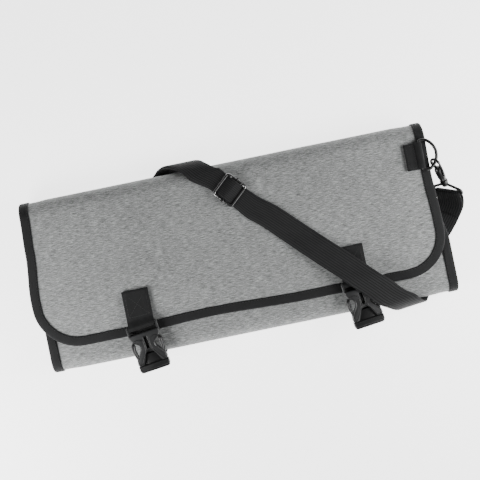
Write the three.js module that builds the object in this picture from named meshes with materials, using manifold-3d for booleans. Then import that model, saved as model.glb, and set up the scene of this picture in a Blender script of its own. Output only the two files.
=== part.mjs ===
// A chef knife roll, folded shut and lying on its back. X runs along the roll, Y from the lower fold
// to the upper fold, Z up from the ground. All sizes are in millimetres.
import * as THREE from 'three';
import { mergeVertices } from 'three/addons/utils/BufferGeometryUtils.js';
import Module from 'manifold-3d';

const wasm = await Module();
wasm.setup();

// The folded panel
const ROLL_WIDTH = 470; // over the bound ends
const ROLL_DEPTH = 196; // from the lower fold to the upper fold
const PANEL_WALL = 5; // padded cloth
const EDGE_WALL = 3.2; // where the padding thins out under the binding
const EDGE_FLAT = 16; // width of that thin rim
const EDGE_RISE = 18; // from the thin rim to the full wall
const LOWER_FOLD = 12; // mid-wall radius of the lower fold
const FLAP_SHORT = 25; // from the flap's free edge to the lower fold
const FLAP_CORNER = 48; // radius of the flap's corners
const INNER_CORNER = 20; // radius of the hidden end's corners
const LIP_DROP = 1; // how far the flap's free edge sinks
const LIP_RUN = 30;
const LIP_EASE = 20;
const UNDER_FLAT = 43; // level stretch of the under layer
const INNER_EASE = 35; // the bends where it sinks towards the back
const INNER_RUN = 20;
const INNER_TAIL = 12;
const INNER_SLOPE = THREE.MathUtils.degToRad(12);
const FLAP_BOW = 3.5; // how far the free edge is drawn up between the buckles
const BOW_FADE = 110;

// Binding and webbing
const GAP = 0.3; // clearance between neighbouring pieces
const BINDING_WIDTH = 11;
const BINDING_WALL = 0.9;
const WEB_WIDTH = 30;
const WEB = 1.5; // thickness of the webbing

// Side-release buckles
const BUCKLE_SIDE = 3; // of the buckle beyond the webbing
const BUCKLE_WIDTH = WEB_WIDTH + 2 * BUCKLE_SIDE;
const BUCKLE_THICK = 8.5;
const BUCKLE_RISE = 1.2; // from the socket's bar up to the body's middle
const SOCKET_LENGTH = 43.5; // from the socket's bar to its mouth
const PLUG_BASE = 8.5; // length of the plug outside the socket
const SOCKET_BAR = 1.9; // radius
const PLUG_BAR = 1.7; // radius
const BUCKLE_LIFT = 0.6; // of the tab's loop above the flap
const BUCKLE_TURN = THREE.MathUtils.degToRad(7); // in plan
const BUCKLE_SLOPE = THREE.MathUtils.degToRad(8); // downwards, away from the flap
const SOCKET_SLOT = 7.6; // from the socket's bar to the far side of the webbing's slot
const SOCKET_FRAME = 2.6; // half the thickness of the rails beside the slot
const SLIT_HALF = 0.8; // half the width of the slit in the socket's neck
const TONGUE_BACK = -2.2; // heights of the plug's tongue, from the body's middle
const TONGUE_FACE = 0.5;
const ARM_WIDTH = 2.6; // the plug's side arms
const ARM_THICK = 4.6;
const PLUG_RIM = 3; // length of the lowered rim at the plug's end
const PLUG_STEP = 0.8; // how far it is lowered
const TAB_LENGTH = 40.6; // from a tab's sewn end to the socket's bar
const TAB_CREASE = 7.5; // from the bar up to the end of the sewing
const BAR_INSET = 9.6; // from the flap's free edge to the socket's bar
const CLOSING_LENGTH = 63; // of a closing strap along the back
const CLOSING_SEAM = 27; // its doubled, sewn end

// Rings, hook and slider
const RING_WIRE = 1.4; // radius
const RING_DEPTH = 17.5; // from the D-ring's bar to its bow
const RING_SHOULDER = 7; // straight part of its sides
const RING_TAB = 17; // from the tab's sewn end to the D-ring's bar
const RING_INSET = 14.6; // from the roll's right end to the D-ring's bar
const RING_Y = 0.613; // its middle, as a share of the half depth
const HOOK_HOLD = THREE.MathUtils.degToRad(35); // where on the bow the hook hangs
const HOOK_HEADING = THREE.MathUtils.degToRad(-69); // in plan, from the ring to the eye
const HOOK_SLOPE = THREE.MathUtils.degToRad(33.5); // downwards, from the ring to the eye
const HOOK_REACH = 33; // from the swivel to the wire held
const HOLD_GAP = 1.5; // room in the bight for the wire, which crosses it askew
const EYE_REACH = 12.2; // from the swivel to the eye's bar
const EYE_SHOULDER = 5.2; // how far its sides run straight
const EYE_TURN = -23; // the eye's bar, degrees in plan and upwards
const EYE_LIFT = 35;
const SWIVEL_PIN = 1.5; // radius
const SWIVEL_COLLAR = 2.2; // half its height
const HOOK_THICK = 3.6;
const HOOK_COLLAR = 3.4; // its length
const BIGHT_OUTER = 7.6;
const BIGHT_INNER = 5.2;
const SHANK_WIDTH = 8;
const SHANK_FOOT = 4; // from the swivel to the shank's lower end
const SHANK_BITE = 0.6; // how far it runs into the bight
const GATE_FROM = 22; // the bight's opening, from the swivel
const GATE_RISE = 2; // its end, above the bight's middle
const LEVER_THICK = 2;
const LEVER_FOOT = 14.2; // from the swivel to the lever's lower end
const PIN_LENGTH = 7;
const BORE_LENGTH = 12;
const EYE_WIRE = 1.3; // radius
const SLIDER_WIRE = 1.3; // radius
const SLIDER_LENGTH = 24.8; // between the middles of its end bars
const SLIDER_X = 0.014; // its middle, as shares of the half width and half depth
const SLIDER_Y = 0.663;
const SLIDER_TURN = 42; // degrees in plan
const SLIDER_CORNER = 3.6;
const SLIDER_SQUEEZE = 0.8; // width of the strap inside it
const SLIDER_PLAY = 0.4; // between that strap and the sides
const SLIDER_WIDTH = SLIDER_SQUEEZE * WEB_WIDTH + 2 * (SLIDER_WIRE + SLIDER_PLAY); // between their middles
const RUN_IN = 11; // of the strap before the slider
const RUN_OUT = 9; // and behind it
const NUB_LENGTH = 4; // of the swollen ends of its middle bar
const NUB_SWELL = 1.45;
const DOUBLED_SQUEEZE = 0.88; // width of the doubled stretch beyond it
const HIDDEN_X = -0.605; // the hidden hook's bar, as shares of the half width and half depth
const HIDDEN_Y = 0.148;
const HIDDEN_BAR = 1.5; // radius
const HIDDEN_REACH = 24; // from its bar to the wire that it holds
const HIDDEN_RUN = 22; // of the strap straight before it
const HIDDEN_ARM = 2.4; // width of the plate beside the strap
const HIDDEN_NECK = 7; // from its bar to its cross piece
const HIDDEN_CLAW = 7; // width of the claw
const HIDDEN_PLATE = 1.9; // thickness of the claw

const edgeReach = EDGE_WALL / 2 + GAP + BINDING_WALL;
const sheetHalf = ROLL_WIDTH / 2 - GAP - BINDING_WALL;
const backMid = 2 * WEB + 2 * GAP + PANEL_WALL / 2;
const upperFold = LOWER_FOLD + (PANEL_WALL / 2 + GAP + edgeReach + LIP_DROP) / 2;
const lowerFoldY = -ROLL_DEPTH / 2 + LOWER_FOLD + PANEL_WALL / 2;
const upperFoldY = ROLL_DEPTH / 2 - upperFold - PANEL_WALL / 2;
const flapMid = backMid + 2 * upperFold;
const flapTop = flapMid + PANEL_WALL / 2;
const flapEdgeY = -ROLL_DEPTH / 2 + FLAP_SHORT;
const flapEndY = flapEdgeY + GAP + BINDING_WALL;
const lipSlope = LIP_DROP / (LIP_RUN + LIP_EASE / 2);

// The section of the panel from the flap's free edge to its hidden end, as runs and bends.
const RUNS = [
  { name: 'lip', length: LIP_RUN, turn: 0, steps: 1 },
  { name: 'lip bend', length: LIP_EASE, turn: -lipSlope, steps: 1 },
  { name: 'flap', length: upperFoldY - flapEndY - LIP_RUN - LIP_EASE, turn: 0, steps: 4 },
  { name: 'upper fold', length: Math.PI * upperFold, turn: -Math.PI, steps: 10 },
  { name: 'back', length: upperFoldY - lowerFoldY, turn: 0, steps: 7 },
  { name: 'lower fold', length: Math.PI * LOWER_FOLD, turn: -Math.PI, steps: 10 },
  { name: 'under layer', length: UNDER_FLAT, turn: 0, steps: 2 },
  { name: 'sink', length: INNER_EASE, turn: -INNER_SLOPE, steps: 3 },
  { name: 'slope', length: INNER_RUN, turn: 0, steps: 1 },
  { name: 'level out', length: INNER_EASE, turn: INNER_SLOPE, steps: 3 },
  { name: 'tail', length: INNER_TAIL, turn: 0, steps: 1 },
];

function advance(pose, length, turn) {
  const middle = pose.heading + turn / 2;
  const chord = turn === 0 ? length : (2 * length * Math.sin(turn / 2)) / turn;
  return {
    y: pose.y + chord * Math.cos(middle),
    z: pose.z + chord * Math.sin(middle),
    heading: pose.heading + turn,
  };
}

const runs = [];
let pose = { y: flapEndY, z: flapMid - LIP_DROP, heading: lipSlope };
let panelLength = 0;
for (const run of RUNS) {
  runs.push({ ...run, from: panelLength, pose });
  pose = advance(pose, run.length, run.turn);
  panelLength += run.length;
}

function runNamed(name) {
  return runs.find((run) => run.name === name);
}

function sectionAt(s) {
  const found = runs.findLast((run) => s >= run.from) ?? runs[0];
  const along = s - found.from;
  return advance(found.pose, along, (found.turn * along) / found.length);
}

// The sheet's middle and width along the section, as shares of the roll's width.
const SPREADS = [
  { at: 0, shift: -0.008, spread: 1.002 },
  { at: (-0.14 * ROLL_DEPTH) / 2 - flapEndY, shift: -0.0106, spread: 1.004 },
  { at: (0.41 * ROLL_DEPTH) / 2 - flapEndY, shift: -0.0079, spread: 0.99 },
  { at: runNamed('upper fold').from, shift: -0.0053, spread: 0.988 },
  { at: runNamed('back').from + runNamed('back').length / 2, shift: -0.0085, spread: 0.985 },
  { at: runNamed('lower fold').from, shift: 0.0026, spread: 0.998 },
  { at: runNamed('under layer').from + UNDER_FLAT, shift: 0.0026, spread: 0.998 },
  { at: runNamed('level out').from, shift: -0.0085, spread: 0.985 },
];

// Soft dents and swellings of the panel: shares of the half width and half depth, heights in wall shares.
const RELIEFS = [
  { name: 'dent beside the right tab', on: 'flap', x: 0.63, y: -0.4, rx: 0.09, ry: 0.17, rise: -0.2 },
  { name: 'dent left of the left tab', on: 'flap', x: -0.66, y: -0.34, rx: 0.12, ry: 0.2, rise: -0.12 },
  { name: 'room for the hidden hook', on: 'back', x: -0.66, y: 0.01, rx: 0.285, ry: 0.78, rise: -1.8 },
];

function smooth(share) {
  const t = THREE.MathUtils.clamp(share, 0, 1);
  return t * t * (3 - 2 * t);
}

function spreadAt(s, column) {
  const next = SPREADS.findIndex((row) => row.at > s);
  if (next < 0) return SPREADS.at(-1)[column];
  if (next === 0) return SPREADS[0][column];
  const [a, b] = [SPREADS[next - 1], SPREADS[next]];
  return THREE.MathUtils.lerp(a[column], b[column], smooth((s - a.at) / (b.at - a.at)));
}

function flapS(y) {
  return y - flapEndY;
}

function backS(y) {
  return runNamed('back').from + upperFoldY - y;
}

function reliefAt(s, x) {
  let rise = 0;
  for (const row of RELIEFS) {
    const y = (row.y * ROLL_DEPTH) / 2;
    const middle = row.on === 'flap' ? flapS(y) : backS(y);
    const u = (2 * x / ROLL_WIDTH - row.x) / row.rx;
    const v = (s - middle) / ((row.ry * ROLL_DEPTH) / 2);
    rise += row.rise * PANEL_WALL * smooth(1.5 * (1 - Math.hypot(u, v)));
  }
  return rise;
}

const BOW = { middle: -0.19, reach: 0.47 }; // shares of the half width

function bowAt(s, x) {
  const across = (2 * x / ROLL_WIDTH - BOW.middle) / BOW.reach;
  return FLAP_BOW * smooth(1 - Math.abs(across)) * Math.max(0, 1 - s / BOW_FADE);
}

// A place on the panel: s along the section, x across it and n out of its middle surface.
function onPanel(s, x, n) {
  const at = sectionAt(s + bowAt(s, x));
  const out = n + reliefAt(s, x);
  return new THREE.Vector3(x, at.y - out * Math.sin(at.heading), at.z + out * Math.cos(at.heading));
}

function leftEdge(s) {
  return spreadAt(s, 'shift') * ROLL_WIDTH - spreadAt(s, 'spread') * sheetHalf;
}

function rightEdge(s) {
  return spreadAt(s, 'shift') * ROLL_WIDTH + spreadAt(s, 'spread') * sheetHalf;
}

function cornerAt(s) {
  return s < panelLength / 2 ? FLAP_CORNER : INNER_CORNER;
}

function cornerCut(s) {
  const radius = cornerAt(s);
  const rest = Math.max(0, radius - Math.min(s, panelLength - s));
  return radius - Math.sqrt(radius * radius - rest * rest);
}

function insetAt(s, x) {
  const radius = cornerAt(s);
  const fromEnd = Math.min(s, panelLength - s);
  const fromSide = Math.min(x - leftEdge(s), rightEdge(s) - x);
  if (fromEnd >= radius || fromSide >= radius) return Math.min(fromEnd, fromSide);
  return radius - Math.hypot(radius - fromEnd, radius - fromSide);
}

function wallAt(s, x) {
  return THREE.MathUtils.lerp(EDGE_WALL, PANEL_WALL, smooth((insetAt(s, x) - EDGE_FLAT) / EDGE_RISE));
}

// A closed solid from corner points and triangles, with its faces turned outwards.
function solid(points, triangles) {
  const volume = triangles.reduce((sum, [a, b, c]) => {
    return sum + points[a].dot(new THREE.Vector3().crossVectors(points[b], points[c]));
  }, 0);
  const index = triangles.flatMap(([a, b, c]) => (volume < 0 ? [a, c, b] : [a, b, c]));
  const geometry = new THREE.BufferGeometry().setFromPoints(points);
  geometry.setIndex(index);
  geometry.computeVertexNormals();
  return geometry;
}

// Joins rings of matching points into a skin, closed on itself or with flat ends.
function skin(rings, closed) {
  const count = rings[0].length;
  const points = rings.flat();
  const triangles = [];
  const bays = closed ? rings.length : rings.length - 1;
  for (let i = 0; i < bays; i++) {
    const near = i * count;
    const far = ((i + 1) % rings.length) * count;
    for (let j = 0; j < count; j++) {
      const k = (j + 1) % count;
      triangles.push([near + j, near + k, far + k], [near + j, far + k, far + j]);
    }
  }
  if (!closed) {
    const last = (rings.length - 1) * count;
    for (let j = 1; j < count - 1; j++) {
      triangles.push([0, j + 1, j], [last, last + j, last + j + 1]);
    }
  }
  return solid(points, triangles);
}

function toManifold(geometry) {
  const bare = geometry.index ? geometry.toNonIndexed() : geometry.clone();
  bare.deleteAttribute('normal');
  bare.deleteAttribute('uv');
  const merged = mergeVertices(bare, 1e-4);
  return new wasm.Manifold(
    new wasm.Mesh({
      numProp: 3,
      vertProperties: merged.attributes.position.array,
      triVerts: new Uint32Array(merged.index.array),
    }),
  );
}

function fromManifold(made) {
  const result = made.getMesh();
  const geometry = new THREE.BufferGeometry();
  geometry.setAttribute('position', new THREE.BufferAttribute(new Float32Array(result.vertProperties), 3));
  geometry.setIndex(new THREE.BufferAttribute(new Uint32Array(result.triVerts), 1));
  geometry.computeVertexNormals();
  return geometry;
}

function joined(parts, cuts = []) {
  const sum = parts.map(toManifold).reduce((a, b) => a.add(b));
  return fromManifold(cuts.map(toManifold).reduce((a, b) => a.subtract(b), sum));
}

// An outline of [across, along] points, extruded between two heights.
function slab(points, low, high, bevel = 0) {
  const shape = new THREE.Shape(points.map(([x, y]) => new THREE.Vector2(x, y)));
  const geometry = new THREE.ExtrudeGeometry(shape, {
    depth: high - low - 2 * bevel,
    bevelEnabled: bevel > 0,
    bevelThickness: bevel,
    bevelSize: bevel,
    bevelOffset: -bevel,
    bevelSegments: 1,
  });
  return geometry.translate(0, 0, low + bevel);
}

function oblong(left, right, low, high) {
  return [[left, low], [right, low], [right, high], [left, high]];
}

function mirrored(points) {
  return [...points, ...points.filter(([x]) => x > 0).map(([x, y]) => [-x, y]).reverse()];
}

function rod(radius, length, sides = 12) {
  return new THREE.CylinderGeometry(radius, radius, length, sides).rotateZ(Math.PI / 2);
}

// A flat profile in the YZ plane, extruded along X about a middle.
function alongX(shape, width, middle, curveSegments = 8) {
  const geometry = new THREE.ExtrudeGeometry(shape, { depth: width, bevelEnabled: false, curveSegments });
  const axes = new THREE.Matrix4().makeBasis(
    new THREE.Vector3(0, 1, 0),
    new THREE.Vector3(0, 0, 1),
    new THREE.Vector3(1, 0, 0),
  );
  return geometry.applyMatrix4(axes).translate(middle - width / 2, 0, 0);
}

// A closed loop of round wire lying in one plane, whose normal is given.
function wireLoop(points, normal, radius, sides = 8) {
  const rings = points.map((point, i) => {
    const before = points[(i + points.length - 1) % points.length];
    const after = points[(i + 1) % points.length];
    const ahead = new THREE.Vector3().subVectors(after, before).normalize();
    const side = new THREE.Vector3().crossVectors(ahead, normal).normalize();
    return Array.from({ length: sides }, (_, k) => {
      const angle = ((k + 0.5) * 2 * Math.PI) / sides;
      return point
        .clone()
        .addScaledVector(side, radius * Math.cos(angle))
        .addScaledVector(normal, radius * Math.sin(angle));
    });
  });
  return skin(rings, true);
}

// A closed polygon with its corners rounded, as points in its own plane.
function roundedPath(corners, radius, steps = 4) {
  const points = [];
  corners.forEach((corner, i) => {
    const before = corners[(i + corners.length - 1) % corners.length];
    const after = corners[(i + 1) % corners.length];
    const start = corner.clone().add(before.clone().sub(corner).setLength(radius));
    const end = corner.clone().add(after.clone().sub(corner).setLength(radius));
    const bend = new THREE.QuadraticBezierCurve3(start, corner, end);
    points.push(...bend.getPoints(steps));
  });
  return points;
}

function mesh(name, geometry, finish) {
  const made = new THREE.Mesh(geometry, finish.clone());
  made.name = name;
  return made;
}

const finishes = {
  cloth: new THREE.MeshStandardMaterial({ color: 0xa9abad, roughness: 0.9 }),
  binding: new THREE.MeshStandardMaterial({ color: 0x232325, roughness: 0.85 }),
  webbing: new THREE.MeshStandardMaterial({ color: 0x1d1d1f, roughness: 0.85 }),
  socket: new THREE.MeshStandardMaterial({ color: 0x47484b, roughness: 0.5 }),
  plug: new THREE.MeshStandardMaterial({ color: 0x2a2a2d, roughness: 0.5 }),
  metal: new THREE.MeshStandardMaterial({ color: 0x151517, roughness: 0.25, metalness: 0.6 }),
};

// The panel's rows along the section: the corners' arcs, then the steps of every run.
const CORNER_STEPS = 5;

function cornerRows(radius) {
  return Array.from({ length: CORNER_STEPS + 1 }, (_, i) => {
    return radius * (1 - Math.cos((i * Math.PI) / 2 / CORNER_STEPS));
  });
}

function panelRows() {
  const start = cornerRows(FLAP_CORNER);
  const end = cornerRows(INNER_CORNER).map((s) => panelLength - s).reverse();
  const between = runs.flatMap((run) => {
    return Array.from({ length: run.steps }, (_, i) => run.from + (run.length * i) / run.steps);
  });
  const clear = between.filter((s) => s > FLAP_CORNER + 1 && s < panelLength - INNER_CORNER - 1);
  return [...start, ...clear, ...end];
}

const SIDE_INSETS = [0, EDGE_FLAT, EDGE_FLAT + EDGE_RISE];
const MIDDLE_COLUMNS = 6;

function rowPlaces(s) {
  const left = leftEdge(s) + cornerCut(s);
  const right = rightEdge(s) - cornerCut(s);
  const inner = [left + SIDE_INSETS.at(-1), right - SIDE_INSETS.at(-1)];
  const middle = Array.from({ length: MIDDLE_COLUMNS }, (_, i) => {
    return THREE.MathUtils.lerp(inner[0], inner[1], (i + 1) / (MIDDLE_COLUMNS + 1));
  });
  const rightInsets = [...SIDE_INSETS].reverse();
  return [...SIDE_INSETS.map((inset) => left + inset), ...middle, ...rightInsets.map((inset) => right - inset)];
}

function rollPanel() {
  const rows = panelRows();
  const places = rows.map(rowPlaces);
  const columns = places[0].length;
  const points = [1, -1].flatMap((side) => {
    return rows.flatMap((s, i) => places[i].map((x) => onPanel(s, x, (side * wallAt(s, x)) / 2)));
  });
  const at = (side, i, j) => side * rows.length * columns + i * columns + j;
  const triangles = [];
  const quad = (a, b, c, d) => triangles.push([a, b, c], [a, c, d]);
  for (let i = 0; i < rows.length - 1; i++) {
    for (let j = 0; j < columns - 1; j++) {
      quad(at(0, i, j), at(0, i, j + 1), at(0, i + 1, j + 1), at(0, i + 1, j));
      quad(at(1, i, j), at(1, i + 1, j), at(1, i + 1, j + 1), at(1, i, j + 1));
    }
    quad(at(0, i, 0), at(0, i + 1, 0), at(1, i + 1, 0), at(1, i, 0));
    quad(at(0, i, columns - 1), at(1, i, columns - 1), at(1, i + 1, columns - 1), at(0, i + 1, columns - 1));
  }
  const last = rows.length - 1;
  for (let j = 0; j < columns - 1; j++) {
    quad(at(0, 0, j), at(1, 0, j), at(1, 0, j + 1), at(0, 0, j + 1));
    quad(at(0, last, j), at(0, last, j + 1), at(1, last, j + 1), at(1, last, j));
  }
  return mesh('roll_panel', solid(points, triangles), finishes.cloth);
}

// The panel's outline as stations: a place on its edge and the way out of it.
function outline() {
  const rows = panelRows();
  const turns = Array.from({ length: CORNER_STEPS + 1 }, (_, i) => (i * Math.PI) / 2 / CORNER_STEPS);
  const straight = rows.filter((s) => s > FLAP_CORNER + 1 && s < panelLength - INNER_CORNER - 1);
  const corner = (end, radius, angle, side) => {
    const s = end === 'flap' ? radius * (1 - Math.cos(angle)) : panelLength - radius * (1 - Math.cos(angle));
    const edge = side > 0 ? rightEdge(s) : leftEdge(s);
    return {
      s,
      x: edge - side * radius * (1 - Math.sin(angle)),
      outS: (end === 'flap' ? -1 : 1) * Math.cos(angle),
      outX: side * Math.sin(angle),
    };
  };
  const flapRow = rowPlaces(0).slice(1, -1).map((x) => ({ s: 0, x, outS: -1, outX: 0 }));
  const endRow = rowPlaces(panelLength).slice(1, -1).map((x) => ({ s: panelLength, x, outS: 1, outX: 0 }));
  return [
    ...flapRow,
    ...turns.map((angle) => corner('flap', FLAP_CORNER, angle, 1)),
    ...straight.map((s) => ({ s, x: rightEdge(s), outS: 0, outX: 1 })),
    ...[...turns].reverse().map((angle) => corner('inner', INNER_CORNER, angle, 1)),
    ...endRow.reverse(),
    ...turns.map((angle) => corner('inner', INNER_CORNER, angle, -1)),
    ...[...straight].reverse().map((s) => ({ s, x: leftEdge(s), outS: 0, outX: -1 })),
    ...[...turns].reverse().map((angle) => corner('flap', FLAP_CORNER, angle, -1)),
  ];
}

function edgeBinding() {
  const inside = EDGE_WALL / 2 + GAP;
  const chamfer = 0.9;
  const inner = GAP + BINDING_WALL - BINDING_WIDTH;
  const profile = [
    [inner, edgeReach],
    [GAP + BINDING_WALL - chamfer, edgeReach],
    [GAP + BINDING_WALL, edgeReach - chamfer],
    [GAP + BINDING_WALL, chamfer - edgeReach],
    [GAP + BINDING_WALL - chamfer, -edgeReach],
    [inner, -edgeReach],
    [inner, -inside],
    [GAP, -inside],
    [GAP, inside],
    [inner, inside],
  ];
  const rings = outline().map((at) => {
    return profile.map(([out, n]) => onPanel(at.s + out * at.outS, at.x + out * at.outX, n));
  });
  return mesh('edge_binding', skin(rings, true), finishes.binding);
}

const TABS = [
  { name: 'left', x: -0.527 }, // middles, as shares of the half width
  { name: 'right', x: 0.517 },
];

const tabBase = flapTop + GAP;
const tabLoop = SOCKET_BAR + GAP + WEB;
const barY = flapEdgeY + BAR_INSET;
const barZ = tabBase + tabLoop + BUCKLE_LIFT;
const barSlant = Math.tan(BUCKLE_TURN);

// Turns the far end of a webbing piece with the bar that it holds.
function slant(geometry, middle, shareAt) {
  const position = geometry.attributes.position;
  for (let i = 0; i < position.count; i++) {
    const share = shareAt(position.getY(i), position.getZ(i));
    const shifted = position.getY(i) + (position.getX(i) - middle) * barSlant * share;
    position.setY(i, shifted);
  }
  return geometry;
}

function flapTab(side) {
  const middle = (side.x * ROLL_WIDTH) / 2;
  const top = barY + TAB_LENGTH;
  const crease = barY + TAB_CREASE;
  const shape = new THREE.Shape();
  shape.moveTo(top, tabBase);
  shape.lineTo(barY, barZ - tabLoop);
  shape.absarc(barY, barZ, tabLoop, -Math.PI / 2, Math.PI / 2, true);
  shape.lineTo(crease, tabBase + 2 * WEB);
  shape.lineTo(top, tabBase + 2 * WEB);
  const hole = new THREE.Path();
  hole.absarc(barY, barZ, SOCKET_BAR + GAP, 0, 2 * Math.PI, false);
  shape.holes.push(hole);
  const geometry = slant(alongX(shape, WEB_WIDTH, middle), middle, (y) => {
    return smooth((crease + TAB_CREASE - y) / (2 * TAB_CREASE - tabLoop));
  });
  return mesh('flap_tab_' + side.name, geometry, finishes.webbing);
}

// The socket's outline from its slot to its mouth, half of it: across as shares of the half width,
// along as shares of the socket's length.
const SOCKET_OUTLINE = [
  { across: 0.97, along: 0.17 },
  { across: 0.97, along: 0.235 },
  { across: 0.87, along: 0.33 },
  { across: 0.6, along: 0.4 },
  { across: 0.48, along: 0.5 },
  { across: 0.52, along: 0.6 },
  { across: 0.76, along: 0.74 },
  { across: 0.94, along: 0.84 },
  { across: 0.97, along: 0.95 },
  { across: 0.9, along: 1 },
];
const SOCKET_NOTCH = [
  { across: 0.1, along: 0.625 },
  { across: 0.28, along: 0.72 },
  { across: 0.62, along: 1.02 },
];
const ARM_PATH = [
  { across: 0.73, along: 1.08 },
  { across: 0.74, along: 0.87 },
  { across: 0.85, along: 0.73 },
  { across: 0.91, along: 0.57 },
  { across: 0.88, along: 0.42 },
  { across: 0.77, along: 0.34 },
];
const SOCKET_RAILS = [
  { across: 0.93, along: -0.06 },
  { across: 1, along: -0.023 },
  { across: 1, along: 0.244 },
  { across: 0.89, along: 0.313 },
];
const SOCKET_SLIT = { from: 0.29, to: 0.584 };
const TONGUE = { tip: 0.27, wide: 0.6, from: 0.75, until: 0.986 };
const buckleLow = BUCKLE_RISE - BUCKLE_THICK / 2;
const buckleHigh = BUCKLE_RISE + BUCKLE_THICK / 2;
const tongueHalf = (TONGUE.wide * BUCKLE_WIDTH) / 2;

function buckleHalf(rows) {
  return rows.map((row) => [(row.across * BUCKLE_WIDTH) / 2, -row.along * SOCKET_LENGTH]);
}

function armSlab(side, extra) {
  const path = buckleHalf(ARM_PATH).map(([x, y]) => new THREE.Vector2(side * x, y));
  const offsets = path.map((point, i) => {
    const ahead = path[Math.min(i + 1, path.length - 1)].clone().sub(path[Math.max(i - 1, 0)]).normalize();
    return new THREE.Vector2(-ahead.y, ahead.x).multiplyScalar(ARM_WIDTH / 2 + extra);
  });
  const first = path[0].clone().sub(path[1]).setLength(extra);
  const last = path.at(-1).clone().sub(path.at(-2)).setLength(extra);
  path[0].add(first);
  path.at(-1).add(last);
  const near = path.map((point, i) => point.clone().add(offsets[i]));
  const far = path.map((point, i) => point.clone().sub(offsets[i]));
  const outlinePoints = [...near, ...far.reverse()].map((point) => [point.x, point.y]);
  const half = ARM_THICK / 2 + extra;
  return slab(outlinePoints, BUCKLE_RISE - half, BUCKLE_RISE + half);
}

function buckleSocket() {
  const webHalf = WEB_WIDTH / 2 + 2 * GAP;
  const pocketHalf = tongueHalf + 2 * GAP;
  const frame = slab(mirrored(buckleHalf(SOCKET_RAILS)), -SOCKET_FRAME, SOCKET_FRAME, 0.5);
  const slot = slab(oblong(-webHalf, webHalf, -SOCKET_SLOT, 2 * SOCKET_FRAME), -BUCKLE_THICK, BUCKLE_THICK);
  const body = slab(mirrored(buckleHalf(SOCKET_OUTLINE)), buckleLow, buckleHigh, 0.9);
  const bar = rod(SOCKET_BAR, BUCKLE_WIDTH - 1);
  const slit = slab(
    oblong(-SLIT_HALF, SLIT_HALF, -SOCKET_SLIT.to * SOCKET_LENGTH, -SOCKET_SLIT.from * SOCKET_LENGTH),
    -BUCKLE_THICK,
    BUCKLE_THICK,
  );
  const notch = slab(mirrored(buckleHalf(SOCKET_NOTCH)), BUCKLE_RISE + TONGUE_FACE + GAP, BUCKLE_THICK);
  const pocket = slab(
    oblong(-pocketHalf, pocketHalf, -1.1 * SOCKET_LENGTH, -0.7 * SOCKET_LENGTH),
    BUCKLE_RISE + TONGUE_BACK - GAP,
    BUCKLE_RISE + TONGUE_FACE + GAP,
  );
  const rails = joined([frame], [slot]);
  return joined([rails, body, bar], [slit, notch, pocket, armSlab(1, GAP), armSlab(-1, GAP)]);
}

const plugFront = SOCKET_LENGTH + GAP;
const plugEnd = plugFront + PLUG_BASE;
const plugPocket = PLUG_BAR + WEB + 2 * GAP;
const plugBarY = -(plugFront + 1.2 + plugPocket);
const plugBarZ = buckleLow + 0.15 * BUCKLE_THICK;

// The plug's base: a block, and a lowered rim at its end.
function plugBase() {
  const half = (0.97 * BUCKLE_WIDTH) / 2;
  const rimFrom = PLUG_RIM - plugEnd;
  const block = [[half, -plugFront], [half, rimFrom], [half - PLUG_STEP, rimFrom - PLUG_STEP / 2]];
  const rim = [[half - PLUG_STEP / 2, rimFrom + 1], [half - PLUG_STEP, 1 - plugEnd], [half - PLUG_RIM, -plugEnd]];
  return [
    slab(mirrored(block), buckleLow, buckleHigh - 0.3, 0.6),
    slab(mirrored(rim), buckleLow, buckleHigh - 0.3 - PLUG_STEP, 0.5),
  ];
}

function bucklePlug() {
  const webHalf = WEB_WIDTH / 2 + 4 * GAP;
  const tongueOutline = [
    [(TONGUE.tip * BUCKLE_WIDTH) / 2, -TONGUE.from * SOCKET_LENGTH],
    [tongueHalf, -TONGUE.until * SOCKET_LENGTH],
    [tongueHalf, -plugFront - 2],
  ];
  const tongue = slab(mirrored(tongueOutline), BUCKLE_RISE + TONGUE_BACK, BUCKLE_RISE + TONGUE_FACE);
  const pocket = slab(
    oblong(-webHalf, webHalf, -plugEnd - PLUG_BASE, plugBarY + plugPocket),
    -BUCKLE_THICK,
    plugBarZ + plugPocket,
  );
  const bar = rod(PLUG_BAR, 0.92 * BUCKLE_WIDTH).translate(0, plugBarY, plugBarZ);
  const shell = joined([...plugBase(), tongue, armSlab(1, 0), armSlab(-1, 0)], [pocket]);
  return joined([shell, bar]);
}

function buckle(side) {
  const group = new THREE.Group();
  group.position.set((side.x * ROLL_WIDTH) / 2, barY, barZ);
  group.rotation.set(BUCKLE_SLOPE, 0, BUCKLE_TURN, 'ZXY');
  group.add(mesh('buckle_socket_' + side.name, buckleSocket(), finishes.socket));
  group.add(mesh('buckle_plug_' + side.name, bucklePlug(), finishes.plug));
  group.updateMatrixWorld(true);
  return group;
}

function pathStrip(path, thickness) {
  const offset = path.map((point, i) => {
    const ahead = path[Math.min(i + 1, path.length - 1)].clone().sub(path[Math.max(i - 1, 0)]).normalize();
    return new THREE.Vector2(-ahead.y, ahead.x).multiplyScalar(thickness / 2);
  });
  const near = path.map((point, i) => point.clone().add(offset[i]));
  const far = path.map((point, i) => point.clone().sub(offset[i])).reverse();
  return new THREE.Shape([...near, ...far]);
}

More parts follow.
